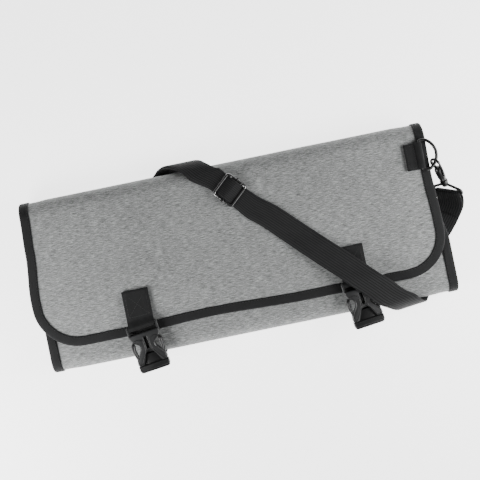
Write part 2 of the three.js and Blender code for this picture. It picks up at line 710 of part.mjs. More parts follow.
function closingStrap(side, group) {
  const held = new THREE.Vector3(0, plugBarY, plugBarZ).applyMatrix4(group.matrixWorld);
  const against = backMid - PANEL_WALL / 2 - GAP - WEB / 2;
  const centre = new THREE.Vector2(lowerFoldY, backMid + LOWER_FOLD);
  const radius = centre.y - against;
  const bar = new THREE.Vector2(held.y, held.z);
  const start = new THREE.Vector2(lowerFoldY + CLOSING_LENGTH, against);
  const arcEnd = THREE.MathUtils.degToRad(-195);
  const arc = Array.from({ length: 10 }, (_, i) => {
    const angle = THREE.MathUtils.lerp(-Math.PI / 2, arcEnd, i / 9);
    return new THREE.Vector2(centre.x + radius * Math.cos(angle), centre.y + radius * Math.sin(angle));
  });
  const loopMiddle = PLUG_BAR + GAP + WEB / 2;
  const landing = bar.clone().add(arc.at(-1).clone().sub(bar).setLength(loopMiddle));
  const strip = alongX(pathStrip([start, ...arc, landing], WEB), WEB_WIDTH, held.x);
  const ring = new THREE.Shape().absarc(bar.x, bar.y, PLUG_BAR + GAP + WEB, 0, 2 * Math.PI, false);
  ring.holes.push(new THREE.Path().absarc(bar.x, bar.y, PLUG_BAR + GAP, 0, 2 * Math.PI, true));
  const loop = alongX(ring, WEB_WIDTH, held.x);
  const seam = new THREE.BoxGeometry(WEB_WIDTH, CLOSING_SEAM, 2 * WEB + GAP);
  seam.translate(held.x, start.x - CLOSING_SEAM / 2, WEB + GAP / 2);
  const geometry = slant(joined([strip, loop, seam]), held.x, (y, z) => {
    return smooth((z - centre.y) / (bar.y - PLUG_BAR - WEB - GAP - centre.y));
  });
  return mesh('closing_strap_' + side.name, geometry, finishes.webbing);
}

// The D-ring in its own plane: its bar along Y at the origin, its bow towards +X.
const ringHalf = WEB_WIDTH / 2 + GAP + RING_WIRE;
const bowRise = RING_DEPTH - RING_SHOULDER;
const bowRadius = (ringHalf * ringHalf + bowRise * bowRise) / (2 * bowRise);
const bowMiddle = RING_DEPTH - bowRadius;
const ringLoop = RING_WIRE + GAP + WEB;

function bowPoint(angle) {
  return new THREE.Vector3(bowMiddle + bowRadius * Math.cos(angle), bowRadius * Math.sin(angle), 0);
}

function dRing(name) {
  const corner = 2.5;
  const reach = Math.asin(ringHalf / bowRadius);
  const bow = Array.from({ length: 11 }, (_, i) => bowPoint(THREE.MathUtils.lerp(-reach, reach, i / 10)));
  const cornerAtEnd = (side) => {
    const bend = new THREE.QuadraticBezierCurve3(
      new THREE.Vector3(corner, side * ringHalf, 0),
      new THREE.Vector3(0, side * ringHalf, 0),
      new THREE.Vector3(0, side * (ringHalf - corner), 0),
    );
    return bend.getPoints(3);
  };
  const points = [...bow, ...cornerAtEnd(1), ...cornerAtEnd(-1).reverse()];
  return mesh(name, wireLoop(points, new THREE.Vector3(0, 0, 1), RING_WIRE), finishes.metal);
}

function ringTab(name) {
  const shape = new THREE.Shape();
  shape.moveTo(-RING_TAB, -ringLoop);
  shape.lineTo(0, -ringLoop);
  shape.absarc(0, 0, ringLoop, -Math.PI / 2, Math.PI / 2, false);
  shape.lineTo(-ringLoop - WEB, 2 * WEB - ringLoop);
  shape.lineTo(-RING_TAB, 2 * WEB - ringLoop);
  shape.holes.push(new THREE.Path().absarc(0, 0, RING_WIRE + GAP, 0, 2 * Math.PI, true));
  const geometry = new THREE.ExtrudeGeometry(shape, { depth: WEB_WIDTH, bevelEnabled: false, curveSegments: 8 });
  return mesh(name, geometry.rotateX(Math.PI / 2).translate(0, WEB_WIDTH / 2, 0), finishes.webbing);
}

const ringPlace = new THREE.Vector3(
  ROLL_WIDTH / 2 - RING_INSET,
  RING_Y * (ROLL_DEPTH / 2),
  flapMid + edgeReach + GAP + ringLoop,
);

function frontRing() {
  const group = new THREE.Group();
  group.position.copy(ringPlace);
  group.add(ringTab('ring_tab'), dRing('d_ring'));
  return group;
}

// The snap hook hangs from the bow. Its axis runs up from the swivel eye to the wire that it holds.
const heldAngle = -HOOK_HOLD;
const held = ringPlace.clone().add(bowPoint(heldAngle));
const heldWire = new THREE.Vector3(-Math.sin(heldAngle), Math.cos(heldAngle), 0);
const hookAxis = new THREE.Vector3(
  -Math.cos(HOOK_SLOPE) * Math.cos(HOOK_HEADING),
  -Math.cos(HOOK_SLOPE) * Math.sin(HOOK_HEADING),
  Math.sin(HOOK_SLOPE),
);
const hookSide = new THREE.Vector3().crossVectors(heldWire, hookAxis).normalize();
if (hookSide.z < 0) hookSide.negate();
const hookNormal = new THREE.Vector3().crossVectors(hookSide, hookAxis);
const swivel = held.clone().addScaledVector(hookAxis, -HOOK_REACH);
const eyeMiddle = swivel.clone().addScaledVector(hookAxis, -EYE_REACH);

function widthDirection(turn, lift) {
  const flat = Math.cos(THREE.MathUtils.degToRad(lift));
  const angle = THREE.MathUtils.degToRad(turn);
  return new THREE.Vector3(flat * Math.cos(angle), flat * Math.sin(angle), Math.sin(THREE.MathUtils.degToRad(lift)));
}

const eyeWidth = widthDirection(EYE_TURN, EYE_LIFT);

// Shapes in the hook's own plane: x towards the lever, y along the axis from the swivel, z its thickness.
const bightY = HOOK_REACH + RING_WIRE + HOLD_GAP - BIGHT_INNER;
const shankTop = bightY - BIGHT_INNER + SHANK_BITE;
const leverTip = bightY + GATE_RISE - GAP;

// The lever's outline: across as shares of the bight's radius, along as shares of the lever's length.
const LEVER_OUTLINE = [
  { across: 0.29, along: 0.11 },
  { across: 0.605, along: 0 },
  { across: 0.87, along: 0.126 },
  { across: 0.96, along: 0.54 },
  { across: 0.934, along: 0.965 },
  { across: 0.684, along: 1 },
  { across: 0.658, along: 0.54 },
  { across: 0.553, along: 0.297 },
  { across: 0.29, along: 0.275 },
];
const leverIn = LEVER_OUTLINE[0].across * BIGHT_OUTER;

function snapHook() {
  const half = HOOK_THICK / 2;
  const shankRadius = SHANK_WIDTH / 2;
  const beyond = BIGHT_OUTER + 2;
  const bight = new THREE.Shape().absarc(0, bightY, BIGHT_OUTER, 0, 2 * Math.PI, false);
  bight.holes.push(new THREE.Path().absarc(0, bightY, BIGHT_INNER, 0, 2 * Math.PI, true));
  const ring = new THREE.ExtrudeGeometry(bight, { depth: HOOK_THICK, bevelEnabled: false, curveSegments: 10 });
  const shank = new THREE.CylinderGeometry(0.82 * shankRadius, shankRadius, shankTop - SHANK_FOOT, 12);
  const collar = new THREE.CylinderGeometry(shankRadius + 0.5, shankRadius + 0.5, HOOK_COLLAR, 12);
  const bore = new THREE.CylinderGeometry(SWIVEL_PIN + GAP, SWIVEL_PIN + GAP, BORE_LENGTH, 10);
  const leverRoom = LEVER_THICK / 2 + GAP;
  const slot = slab(oblong(leverIn - 2 * GAP, beyond, LEVER_FOOT - 3 * GAP, shankTop + 1), -leverRoom, leverRoom);
  const gate = slab(oblong(leverIn, beyond, GATE_FROM, bightY + GATE_RISE), -2 * half, 2 * half);
  return joined(
    [
      ring.translate(0, 0, -half),
      shank.translate(0, (shankTop + SHANK_FOOT) / 2, 0),
      collar.translate(0, SWIVEL_COLLAR + GAP + HOOK_COLLAR / 2, 0),
    ],
    [bore.translate(0, SHANK_FOOT, 0), slot, gate],
  );
}

function hookLever() {
  const points = LEVER_OUTLINE.map((row) => {
    return [row.across * BIGHT_OUTER, THREE.MathUtils.lerp(LEVER_FOOT, leverTip, row.along)];
  });
  return slab(points, -LEVER_THICK / 2, LEVER_THICK / 2);
}

function hookGroup() {
  const group = new THREE.Group();
  const axes = new THREE.Matrix4().makeBasis(hookSide, hookAxis, hookNormal);
  group.setRotationFromMatrix(axes);
  group.position.copy(swivel);
  group.add(mesh('snap_hook', snapHook(), finishes.metal));
  group.add(mesh('hook_lever', hookLever(), finishes.metal));
  return group;
}

function swivelEye() {
  const half = WEB_WIDTH / 2 + 2 * GAP + EYE_WIRE;
  const places = [[-half, 0], [half, 0], [half, EYE_SHOULDER], [2, EYE_REACH], [-2, EYE_REACH], [-half, EYE_SHOULDER]];
  const corners = places.map(([across, along]) => {
    return eyeMiddle.clone().addScaledVector(eyeWidth, across).addScaledVector(hookAxis, along);
  });
  const normal = new THREE.Vector3().crossVectors(eyeWidth, hookAxis).normalize();
  const loop = wireLoop(roundedPath(corners, 1.9), normal, EYE_WIRE);
  const upright = new THREE.Quaternion().setFromUnitVectors(new THREE.Vector3(0, 1, 0), hookAxis);
  const turned = (geometry) => geometry.applyQuaternion(upright).translate(...swivel.toArray());
  const collar = new THREE.CylinderGeometry(SHANK_WIDTH / 2, SHANK_WIDTH / 2 - 0.6, 2 * SWIVEL_COLLAR, 12);
  const pin = new THREE.CylinderGeometry(SWIVEL_PIN, SWIVEL_PIN, PIN_LENGTH, 10).translate(0, PIN_LENGTH / 2, 0);
  return mesh('swivel_eye', joined([loop, turned(collar), turned(pin)]), finishes.metal);
}

// The slider lies across the strap, its far end on the doubled stretch.
const lean = THREE.MathUtils.degToRad(31); // where the strap leaves the round of its bars
const sliderAt = new THREE.Vector2(SLIDER_X * (ROLL_WIDTH / 2), SLIDER_Y * (ROLL_DEPTH / 2));
const sliderTurn = THREE.MathUtils.degToRad(SLIDER_TURN);
const strapAhead = new THREE.Vector2(-Math.sin(sliderTurn), Math.cos(sliderTurn));
const layerStep = WEB + 2 * GAP;
const strapLow = flapTop + GAP + WEB / 2;
const strapHigh = strapLow + layerStep;
const barClear = SLIDER_WIRE + GAP + WEB / 2;
const sliderZ = (strapLow + strapHigh) / 2 + barClear;
const overBar = barClear + GAP + WEB;

function strapSlider() {
  const group = new THREE.Group();
  group.position.set(sliderAt.x, sliderAt.y, sliderZ);
  group.rotation.set(Math.asin(layerStep / SLIDER_LENGTH), 0, sliderTurn, 'ZXY');
  const half = new THREE.Vector2(SLIDER_WIDTH / 2, SLIDER_LENGTH / 2);
  const corners = [[1, 1], [-1, 1], [-1, -1], [1, -1]].map(([x, y]) => new THREE.Vector3(x * half.x, y * half.y, 0));
  const loop = wireLoop(roundedPath(corners, SLIDER_CORNER), new THREE.Vector3(0, 0, 1), SLIDER_WIRE);
  const bar = rod(SLIDER_WIRE, SLIDER_WIDTH, 8);
  const nubs = [1, -1].map((side) => {
    return rod(NUB_SWELL * SLIDER_WIRE, NUB_LENGTH, 8).translate(side * (half.x + 0.5), 0, 0);
  });
  group.add(mesh('strap_slider', joined([loop, bar, ...nubs]), finishes.metal));
  return group;
}

// Places on the strap's middle line, from the hook's eye to the hidden end. x and y are shares of the
// half width and half depth, up is the share of the way from the ground to the flap, over the share of
// the way from there to the top of the right buckle's bar. Turn and lift are the angles of its width.
const floorLevel = WEB / 2;
const overBuckle = barZ + tabLoop + GAP + WEB / 2 - strapLow;

const STRAP_FRONT = [
  { name: 'flat under the right end', x: 0.957, y: -0.334, up: 0, turn: -36, lift: 0 },
  { name: 'under the back', x: 0.866, y: -0.673, up: 0, turn: -22, lift: 0 },
  { name: 'before the lower fold', x: 0.82, y: -0.896, up: 0.01, turn: -8, lift: 0 },
  { name: 'lower fold, bottom', x: 0.799, y: -1.01, up: 0.15, turn: 2, lift: 0 },
  { name: 'lower fold, outermost', x: 0.776, y: -1.06, up: 0.47, turn: 6, lift: 0 },
  { name: 'lower fold, top', x: 0.748, y: -1.041, up: 0.83, turn: 7, lift: 0 },
  { name: 'rising', x: 0.707, y: -0.974, up: 1, over: 0.43, turn: 5, lift: -1 },
  { name: 'beside the plug', x: 0.66, y: -0.883, up: 1, over: 0.93, turn: 2, lift: -2 },
  { name: 'over the socket', x: 0.609, y: -0.76, up: 1, over: 1.19, turn: 0, lift: -2 },
  { name: 'over the socket bar', x: 0.555, y: -0.633, up: 1, over: 1.19, turn: 0, lift: -2 },
  { name: 'over the tab loop', x: 0.502, y: -0.505, up: 1, over: 0.88, turn: 0, lift: -2 },
  { name: 'over the tab', x: 0.43, y: -0.332, up: 1, over: 0.6, turn: 0, lift: -1 },
  { name: 'off the tab', x: 0.352, y: -0.145, up: 1, over: 0.3, turn: 0, lift: 0 },
  { name: 'on the flap', x: 0.29, y: 0.005, up: 1, turn: 0, lift: 0 },
  { name: 'middle of the flap', x: 0.17, y: 0.291, up: 1, turn: 20, lift: 0 },
];
const STRAP_HUMP = [
  { name: 'hump, rising', x: -0.098, y: 0.92, up: 0.985, turn: 6, lift: 0 },
  { name: 'hump, front', x: -0.134, y: 1.005, up: 0.89, turn: 0, lift: 0 },
  { name: 'hump, upper', x: -0.166, y: 1.066, up: 0.73, turn: 0, lift: 0 },
  { name: 'hump, outermost', x: -0.204, y: 1.092, up: 0.5, turn: 0, lift: 0 },
  { name: 'hump, lower', x: -0.242, y: 1.066, up: 0.27, turn: 0, lift: 0 },
  { name: 'hump, back', x: -0.277, y: 1.0, up: 0.1, turn: 0, lift: 0 },
  { name: 'behind the upper fold', x: -0.315, y: 0.903, up: 0.004, turn: 0, lift: 0 },
  { name: 'under the back', x: -0.36, y: 0.79, up: 0, turn: -5, lift: 0 },
  { name: 'half way', x: -0.47, y: 0.525, up: 0, turn: -30, lift: 0 },
];
// Between the eye and the ground: how far the strap's arc stands out and sags.
const STRAP_RISE = [
  { share: 0.25, out: 7, sink: 1.2 },
  { share: 0.5, out: 7, sink: 3 },
  { share: 0.75, out: 4, sink: 1.6 },
];

function strapStation(row, level, squeeze) {
  const height = THREE.MathUtils.lerp(floorLevel, level, row.up) + (row.over ?? 0) * overBuckle;
  return {
    place: new THREE.Vector3((row.x * ROLL_WIDTH) / 2, (row.y * ROLL_DEPTH) / 2, height),
    width: widthDirection(row.turn, row.lift),
    squeeze,
  };
}

function strapByRing() {
  const flat = strapStation(STRAP_FRONT[0], strapLow, 1);
  const outside = new THREE.Vector3().crossVectors(eyeWidth, hookAxis).negate().normalize();
  const start = eyeMiddle.clone().addScaledVector(outside, EYE_WIRE + GAP + WEB / 2);
  const rising = STRAP_RISE.map((row) => {
    const place = start.clone().lerp(flat.place, row.share).add(new THREE.Vector3(row.out, 0, -row.sink));
    return { place, width: eyeWidth.clone().lerp(flat.width, row.share).normalize(), squeeze: 1 };
  });
  return { start: { place: start, width: eyeWidth.clone(), squeeze: 1 }, rising, outside };
}

function besideSlider(distance, height, squeeze) {
  const place = new THREE.Vector3(sliderAt.x, sliderAt.y, height);
  place.x += strapAhead.x * distance;
  place.y += strapAhead.y * distance;
  return { place, width: widthDirection(SLIDER_TURN, 0), squeeze };
}

function throughSlider() {
  const half = SLIDER_LENGTH / 2;
  const lowIn = half - barClear * Math.sin(lean);
  const lowUp = barClear * (1 - Math.cos(lean));
  const topOut = overBar * Math.sin(lean);
  const topUp = sliderZ + overBar * Math.cos(lean);
  return [
    besideSlider(-half - RUN_IN, strapLow, 0.93),
    besideSlider(-half, strapLow, SLIDER_SQUEEZE),
    besideSlider(-lowIn, strapLow + lowUp, SLIDER_SQUEEZE),
    besideSlider(-topOut, topUp, SLIDER_SQUEEZE),
    besideSlider(0, sliderZ + overBar, SLIDER_SQUEEZE),
    besideSlider(topOut, topUp, SLIDER_SQUEEZE),
    besideSlider(lowIn, strapHigh + lowUp, SLIDER_SQUEEZE),
    besideSlider(half, strapHigh, SLIDER_SQUEEZE),
    besideSlider(half + RUN_OUT, strapHigh, DOUBLED_SQUEEZE),
  ];
}

// Lifts a ring of points that would sink into the ground.
function settled(ring) {
  const under = Math.min(0, ...ring.map((point) => point.z));
  ring.forEach((point) => point.setZ(point.z - under));
  return ring;
}

// A ribbon of webbing through stations, each with the direction of its width.
function ribbon(stations, steps = 3) {
  const path = new THREE.CatmullRomCurve3(stations.map((station) => station.place), false, 'centripetal');
  const count = (stations.length - 1) * steps;
  const rings = Array.from({ length: count + 1 }, (_, i) => {
    const t = i / count;
    const near = Math.min(Math.floor(i / steps), stations.length - 2);
    const share = i / steps - near;
    const place = path.getPoint(t);
    const ahead = path.getTangent(t);
    const width = stations[near].width.clone().lerp(stations[near + 1].width, share).normalize();
    const squeeze = THREE.MathUtils.lerp(stations[near].squeeze, stations[near + 1].squeeze, share);
    const out = new THREE.Vector3().crossVectors(width, ahead);
    const half = (squeeze * WEB_WIDTH) / 2 / out.length();
    out.normalize();
    const ring = [[1, 1], [1, -1], [-1, -1], [-1, 1]].map(([side, face]) => {
      return place.clone().addScaledVector(width, side * half).addScaledVector(out, (face * WEB) / 2);
    });
    return settled(ring);
  });
  return skin(rings, false);
}

// A short tube of webbing round a bar.
function barLoop(middle, width, inner, length) {
  const shape = new THREE.Shape().absarc(0, 0, inner + WEB, 0, 2 * Math.PI, false);
  shape.holes.push(new THREE.Path().absarc(0, 0, inner, 0, 2 * Math.PI, true));
  const tube = new THREE.ExtrudeGeometry(shape, { depth: length, bevelEnabled: false, curveSegments: 8 });
  tube.translate(0, 0, -length / 2);
  const turned = new THREE.Quaternion().setFromUnitVectors(new THREE.Vector3(0, 0, 1), width);
  return tube.applyQuaternion(turned).translate(...middle.toArray());
}

const hiddenEye = new THREE.Vector3(
  (HIDDEN_X * ROLL_WIDTH) / 2,
  (HIDDEN_Y * ROLL_DEPTH) / 2,
  WEB + GAP + HIDDEN_BAR,
);
const hiddenWidth = widthDirection(-45, 0);
const hiddenAhead = new THREE.Vector3(-Math.SQRT1_2, -Math.SQRT1_2, 0);

function shoulderStrap() {
  const { start, rising, outside } = strapByRing();
  const front = STRAP_FRONT.map((row) => strapStation(row, strapLow, 1));
  const hump = STRAP_HUMP.map((row) => strapStation(row, strapHigh, DOUBLED_SQUEEZE));
  const hiddenReach = HIDDEN_BAR + GAP + WEB / 2;
  const last = {
    place: hiddenEye.clone().add(new THREE.Vector3(0, 0, -hiddenReach)),
    width: hiddenWidth,
    squeeze: 1,
  };
  const before = { ...last, place: last.place.clone().addScaledVector(hiddenAhead, -HIDDEN_RUN), squeeze: 0.95 };
  const outer = ribbon([start, ...rising, ...front, ...throughSlider(), ...hump, before, last]);

  const sewnEnd = [start, ...rising].map((station, i) => {
    const apart = THREE.MathUtils.lerp(2 * EYE_WIRE + 2 * GAP + WEB, WEB - 0.1, smooth(i / 2));
    return { ...station, place: station.place.clone().addScaledVector(outside, -apart) };
  });
  const inner = returnLayer(hump, before);
  const pieces = [
    outer,
    ribbon(sewnEnd.slice(0, 3)),
    inner,
    barLoop(eyeMiddle, eyeWidth, EYE_WIRE + GAP, WEB_WIDTH),
    barLoop(hiddenEye, hiddenWidth, HIDDEN_BAR + GAP, WEB_WIDTH),
    barLoop(new THREE.Vector3(sliderAt.x, sliderAt.y, sliderZ), widthDirection(SLIDER_TURN, 0), SLIDER_WIRE + GAP,
      SLIDER_SQUEEZE * WEB_WIDTH),
  ];
  return mesh('shoulder_strap', joined(pieces), finishes.webbing);
}

// The layer that comes back inside the doubled stretch to the slider's middle bar.
function returnLayer(hump, before) {
  const half = SLIDER_LENGTH / 2;
  const atBar = SLIDER_WIRE + GAP + WEB / 2;
  const path = new THREE.CatmullRomCurve3([...hump, before].map((station) => station.place));
  const inside = hump.map((station, i) => {
    const ahead = path.getTangent(i / hump.length);
    const out = new THREE.Vector3().crossVectors(station.width, ahead).normalize();
    return { ...station, place: station.place.clone().addScaledVector(out, -layerStep) };
  });
  const loopTop = hiddenEye.clone().add(new THREE.Vector3(0, 0, HIDDEN_BAR + GAP + WEB / 2));
  return ribbon([
    besideSlider(0.6 * atBar, sliderZ - 0.8 * atBar, SLIDER_SQUEEZE),
    besideSlider(0.55 * half, strapLow + 0.5, SLIDER_SQUEEZE),
    besideSlider(half, strapLow, SLIDER_SQUEEZE),
    besideSlider(half + RUN_OUT, strapLow, DOUBLED_SQUEEZE),
    ...inside,
    { ...before, place: before.place.clone().add(new THREE.Vector3(0, 0, layerStep + 0.6)) },
    { ...before, place: loopTop, squeeze: 1 },
  ]);
}

// The hidden end, finished plainly: one hook of bent plate, its ring and its tab under the back.
function hiddenHook() {
  const half = WEB_WIDTH / 2 + 2 * GAP;
  const across = 2 * half + 2 * HIDDEN_ARM;
  const bar = new THREE.CylinderGeometry(HIDDEN_BAR, HIDDEN_BAR, 2 * half + HIDDEN_ARM, 10);
  const arms = [1, -1].map((hand) => {
    const arm = new THREE.BoxGeometry(HIDDEN_NECK, HIDDEN_ARM, 2 * HIDDEN_BAR);
    return arm.translate(HIDDEN_NECK / 2, hand * (half + HIDDEN_ARM / 2), 0);
  });
  const cross = new THREE.BoxGeometry(2 * HIDDEN_BAR, across, 2 * HIDDEN_BAR).translate(HIDDEN_NECK, 0, 0);
  const wireZ = hiddenRingZ - hiddenEye.z;
  const lowTop = wireZ - RING_WIRE - GAP;
  const highLow = wireZ + RING_WIRE + GAP;
  const endAt = HIDDEN_REACH + RING_WIRE + GAP;
  const neckAt = HIDDEN_NECK - HIDDEN_BAR;
  const claw = oblong(neckAt, endAt + HIDDEN_PLATE, lowTop - HIDDEN_PLATE, lowTop);
  const back = oblong(endAt, endAt + HIDDEN_PLATE, lowTop - HIDDEN_PLATE, highLow + HIDDEN_PLATE);
  const lip = oblong(endAt - HIDDEN_CLAW, endAt + HIDDEN_PLATE, highLow, highLow + HIDDEN_PLATE);
  const neck = oblong(neckAt, HIDDEN_NECK + HIDDEN_BAR, lowTop - HIDDEN_PLATE, HIDDEN_BAR);
  const plates = [claw, back, lip, neck].map((outlinePoints) => {
    return slab(outlinePoints, -HIDDEN_CLAW / 2, HIDDEN_CLAW / 2).rotateX(Math.PI / 2);
  });
  return mesh('back_snap_hook', joined([bar, ...arms, cross, ...plates]), finishes.metal);
}

const hiddenRingZ = backMid - PANEL_WALL / 2 + GAP;

function hiddenEnd() {
  const hook = new THREE.Group();
  hook.position.copy(hiddenEye);
  hook.rotation.z = -3 * Math.PI / 4;
  hook.add(hiddenHook());
  const ring = new THREE.Group();
  ring.position.copy(hiddenEye).addScaledVector(hiddenAhead, HIDDEN_REACH + RING_DEPTH);
  ring.position.z = hiddenRingZ;
  ring.rotation.set(Math.PI, 0, Math.PI / 4, 'ZXY');
  ring.add(ringTab('back_ring_tab'), dRing('back_d_ring'));
  return [hook, ring];
}

const pieces = new THREE.Group();
pieces.add(rollPanel(), edgeBinding());
for (const side of TABS) {
  const group = buckle(side);
  pieces.add(flapTab(side), group, closingStrap(side, group));
}
pieces.add(frontRing(), hookGroup(), swivelEye(), strapSlider(), shoulderStrap(), ...hiddenEnd());

// The origin is the middle of the roll's footprint on the ground.
pieces.updateMatrixWorld(true);
const bounds = new THREE.Box3().setFromObject(pieces, true);
const middle = bounds.getCenter(new THREE.Vector3());
pieces.position.set(-middle.x, -middle.y, -bounds.min.z);

const root = new THREE.Group();
root.add(pieces);

export default root;
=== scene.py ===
"""Looks of a folded chef knife roll of heather-grey cloth, with black webbing, buckles and a shoulder strap.

Lengths in the classes are millimetres in the roll's drawing frame: X along the roll, Y from the lower fold
to the upper fold, Z up from the ground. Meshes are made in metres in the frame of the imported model.
"""

from __future__ import annotations

import logging
from collections.abc import Callable, Sequence
from dataclasses import dataclass, field
from enum import Enum
from math import asin, ceil, copysign, cos, exp, hypot, pi, radians, sin, sqrt, tan
from typing import Any

import bmesh
import bpy
from bpy.types import ID, Material, Mesh, Node, NodeSocket, Object
from mathutils import Matrix, Vector, noise


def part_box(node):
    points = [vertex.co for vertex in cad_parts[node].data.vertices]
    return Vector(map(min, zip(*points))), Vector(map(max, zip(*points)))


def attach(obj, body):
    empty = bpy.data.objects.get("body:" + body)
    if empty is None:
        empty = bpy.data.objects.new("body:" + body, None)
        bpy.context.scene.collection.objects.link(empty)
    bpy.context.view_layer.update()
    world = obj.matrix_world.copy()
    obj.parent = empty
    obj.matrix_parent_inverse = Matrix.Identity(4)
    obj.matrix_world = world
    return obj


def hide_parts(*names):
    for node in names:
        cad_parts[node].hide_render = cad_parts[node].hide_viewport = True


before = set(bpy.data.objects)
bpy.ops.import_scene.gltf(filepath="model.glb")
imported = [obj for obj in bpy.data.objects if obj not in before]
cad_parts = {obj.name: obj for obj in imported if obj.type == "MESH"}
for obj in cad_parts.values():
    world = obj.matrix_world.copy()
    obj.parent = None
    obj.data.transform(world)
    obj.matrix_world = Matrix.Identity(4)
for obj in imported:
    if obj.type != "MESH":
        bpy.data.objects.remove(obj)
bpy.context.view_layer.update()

LOG = logging.getLogger("knife_roll")
MM = 0.001
Point = Vector
Seam = list[tuple[Point, Vector, Vector]]
Route = list[tuple[Point, Vector, Vector, float]]
Edge = tuple[float, float, float, float]
Pairs = Sequence[tuple[float, float]]
Table = tuple[tuple[float, ...], ...]


class Body(Enum):
    """The rigid bodies that a piece can ride on."""

    ROLL = "roll"
    HOOK = "hook"
    LEVER = "lever"


class Slot(Enum):
    """The record's material slots."""

    CLOTH = "cloth"
    BINDING = "binding"
    WEBBING = "webbing"
    SOCKET = "socket_plastic"
    PLUG = "plug_plastic"
    METAL = "black_metal"


def smooth(share: float) -> float:
    """Eases a share from 0 to 1."""
    t = min(1.0, max(0.0, share))
    return t * t * (3 - 2 * t)


def lerp(a: float, b: float, share: float) -> float:
    """The value a share of the way from a to b."""
    return a + (b - a) * share


class Shade:
    """A socket of a material's tree, with arithmetic that adds the nodes it needs."""

    def __init__(self, graph: Graph, socket: NodeSocket) -> None:
        """Keeps the tree and the socket that gives the value."""
        self.graph = graph
        self.socket = socket

    def _op(self, operation: str, *values: Any) -> Shade:
        """Adds one Math node on these values."""
        node = self.graph.node("ShaderNodeMath", {"operation": operation}, dict(enumerate(values)))
        return Shade(self.graph, node.outputs[0])

    def __add__(self, other: Any) -> Shade:
        """Sum."""
        return self._op("ADD", self, other)

    def __radd__(self, other: Any) -> Shade:
        """Sum with a number on the left."""
        return self._op("ADD", other, self)

    def __sub__(self, other: Any) -> Shade:
        """Difference."""
        return self._op("SUBTRACT", self, other)

    def __rsub__(self, other: Any) -> Shade:
        """Difference from a number on the left."""
        return self._op("SUBTRACT", other, self)

    def __mul__(self, other: Any) -> Shade:
        """Product."""
        return self._op("MULTIPLY", self, other)

    def __rmul__(self, other: Any) -> Shade:
        """Product with a number on the left."""
        return self._op("MULTIPLY", other, self)

    def wave(self) -> Shade:
        """Sine of the value."""
        return self._op("SINE", self)

    def size(self) -> Shade:
        """Absolute value."""
        return self._op("ABSOLUTE", self)

    def step(self, low: float, high: float) -> Shade:
        """Eases the value from 0 at low to 1 at high."""
        node = self.graph.node(
            "ShaderNodeMapRange",
            {"interpolation_type": "SMOOTHSTEP"},
            {"Value": self, "From Min": low, "From Max": high},
        )
        return Shade(self.graph, node.outputs["Result"])


class Graph:
    """A material's node tree, filled through one method."""

    def __init__(self, name: str) -> None:
        """Starts a material with an empty tree but its output."""
        self.material = bpy.data.materials.new(name)
        self.material.use_nodes = True
        self.tree = self.material.node_tree
        self.tree.nodes.clear()
        self.output = self.tree.nodes.new("ShaderNodeOutputMaterial")

    def node(self, kind: str, settings: dict[str, Any], inputs: dict[Any, Any]) -> Node:
        """Adds a node.

        Args:
            kind: the node's type.
            settings: its own properties, set first; a ramp's stops come as "stops".
            inputs: values or links by socket name or number.

        Returns:
            The node.
        """
        node = self.tree.nodes.new(kind)
        for key, value in settings.items():
            if key == "stops":
                self._stops(node, value)
            else:
                setattr(node, key, value)
        for key, value in inputs.items():
            socket = node.inputs[key]
            if isinstance(value, Shade):
                self.tree.links.new(value.socket, socket)
            elif isinstance(value, NodeSocket):
                self.tree.links.new(value, socket)
            else:
                socket.default_value = value
        return node

    def _stops(self, node: Node, stops: Sequence[tuple[float, tuple[float, ...]]]) -> None:
        """Sets a colour ramp's stops."""
        elements = node.color_ramp.elements
        while len(elements) < len(stops):
            elements.new(0.5)
        for element, (place, colour) in zip(elements, stops):
            element.position = place
            element.color = colour

    def uv(self, layer: str) -> tuple[Shade, Shade]:
        """The two coordinates of a UV map, in metres along the surface."""
        source = self.node("ShaderNodeUVMap", {"uv_map": layer}, {})
        parts = self.node("ShaderNodeSeparateXYZ", {}, {0: source.outputs[0]})
        return Shade(self, parts.outputs[0]), Shade(self, parts.outputs[1])

    def place(self) -> NodeSocket:
        """The object coordinates."""
        return self.node("ShaderNodeTexCoord", {}, {}).outputs["Object"]

    def vector(self, x: Any, y: Any, z: Any = 0.0) -> NodeSocket:
        """A vector from three values."""
        return self.node("ShaderNodeCombineXYZ", {}, {0: x, 1: y, 2: z}).outputs[0]

    def noise(self, vector: Any, scale: float, detail: float = 2.0, rough: float = 0.5) -> Shade:
        """Smooth noise of a vector."""
        inputs = {"Vector": vector, "Scale": scale, "Detail": detail, "Roughness": rough}
        return Shade(self, self.node("ShaderNodeTexNoise", {}, inputs).outputs[0])

    def ramp(self, value: Shade, stops: Sequence[tuple[float, tuple[float, ...]]]) -> NodeSocket:
        """A colour by value."""
        return self.node("ShaderNodeValToRGB", {"stops": stops}, {0: value}).outputs[0]

    def bump(self, height: Shade, strength: float, distance: float) -> NodeSocket:
        """A normal from a height in units of the distance."""
        inputs = {"Height": height, "Strength": strength, "Distance": distance}
        return self.node("ShaderNodeBump", {}, inputs).outputs[0]

    def surface(self, settings: dict[str, Any]) -> Material:
        """Ends the tree in a Principled shader with these inputs.

        Args:
            settings: values or links by socket name.

        Returns:
            The finished material.
        """
        shader = self.node("ShaderNodeBsdfPrincipled", {}, settings)
        self.tree.links.new(shader.outputs[0], self.output.inputs[0])
        return self.material


def grey(value: float, tint: float = 0.0) -> tuple[float, float, float, float]:
    """A grey with a slight cool tint."""
    return (value * (1 - tint), value, value * (1 + tint), 1.0)


def melange(value: float) -> tuple[float, float, float, float]:
    """A grey of the cloth, a little to the green."""
    return (value * 0.975, value, value * 0.99, 1.0)


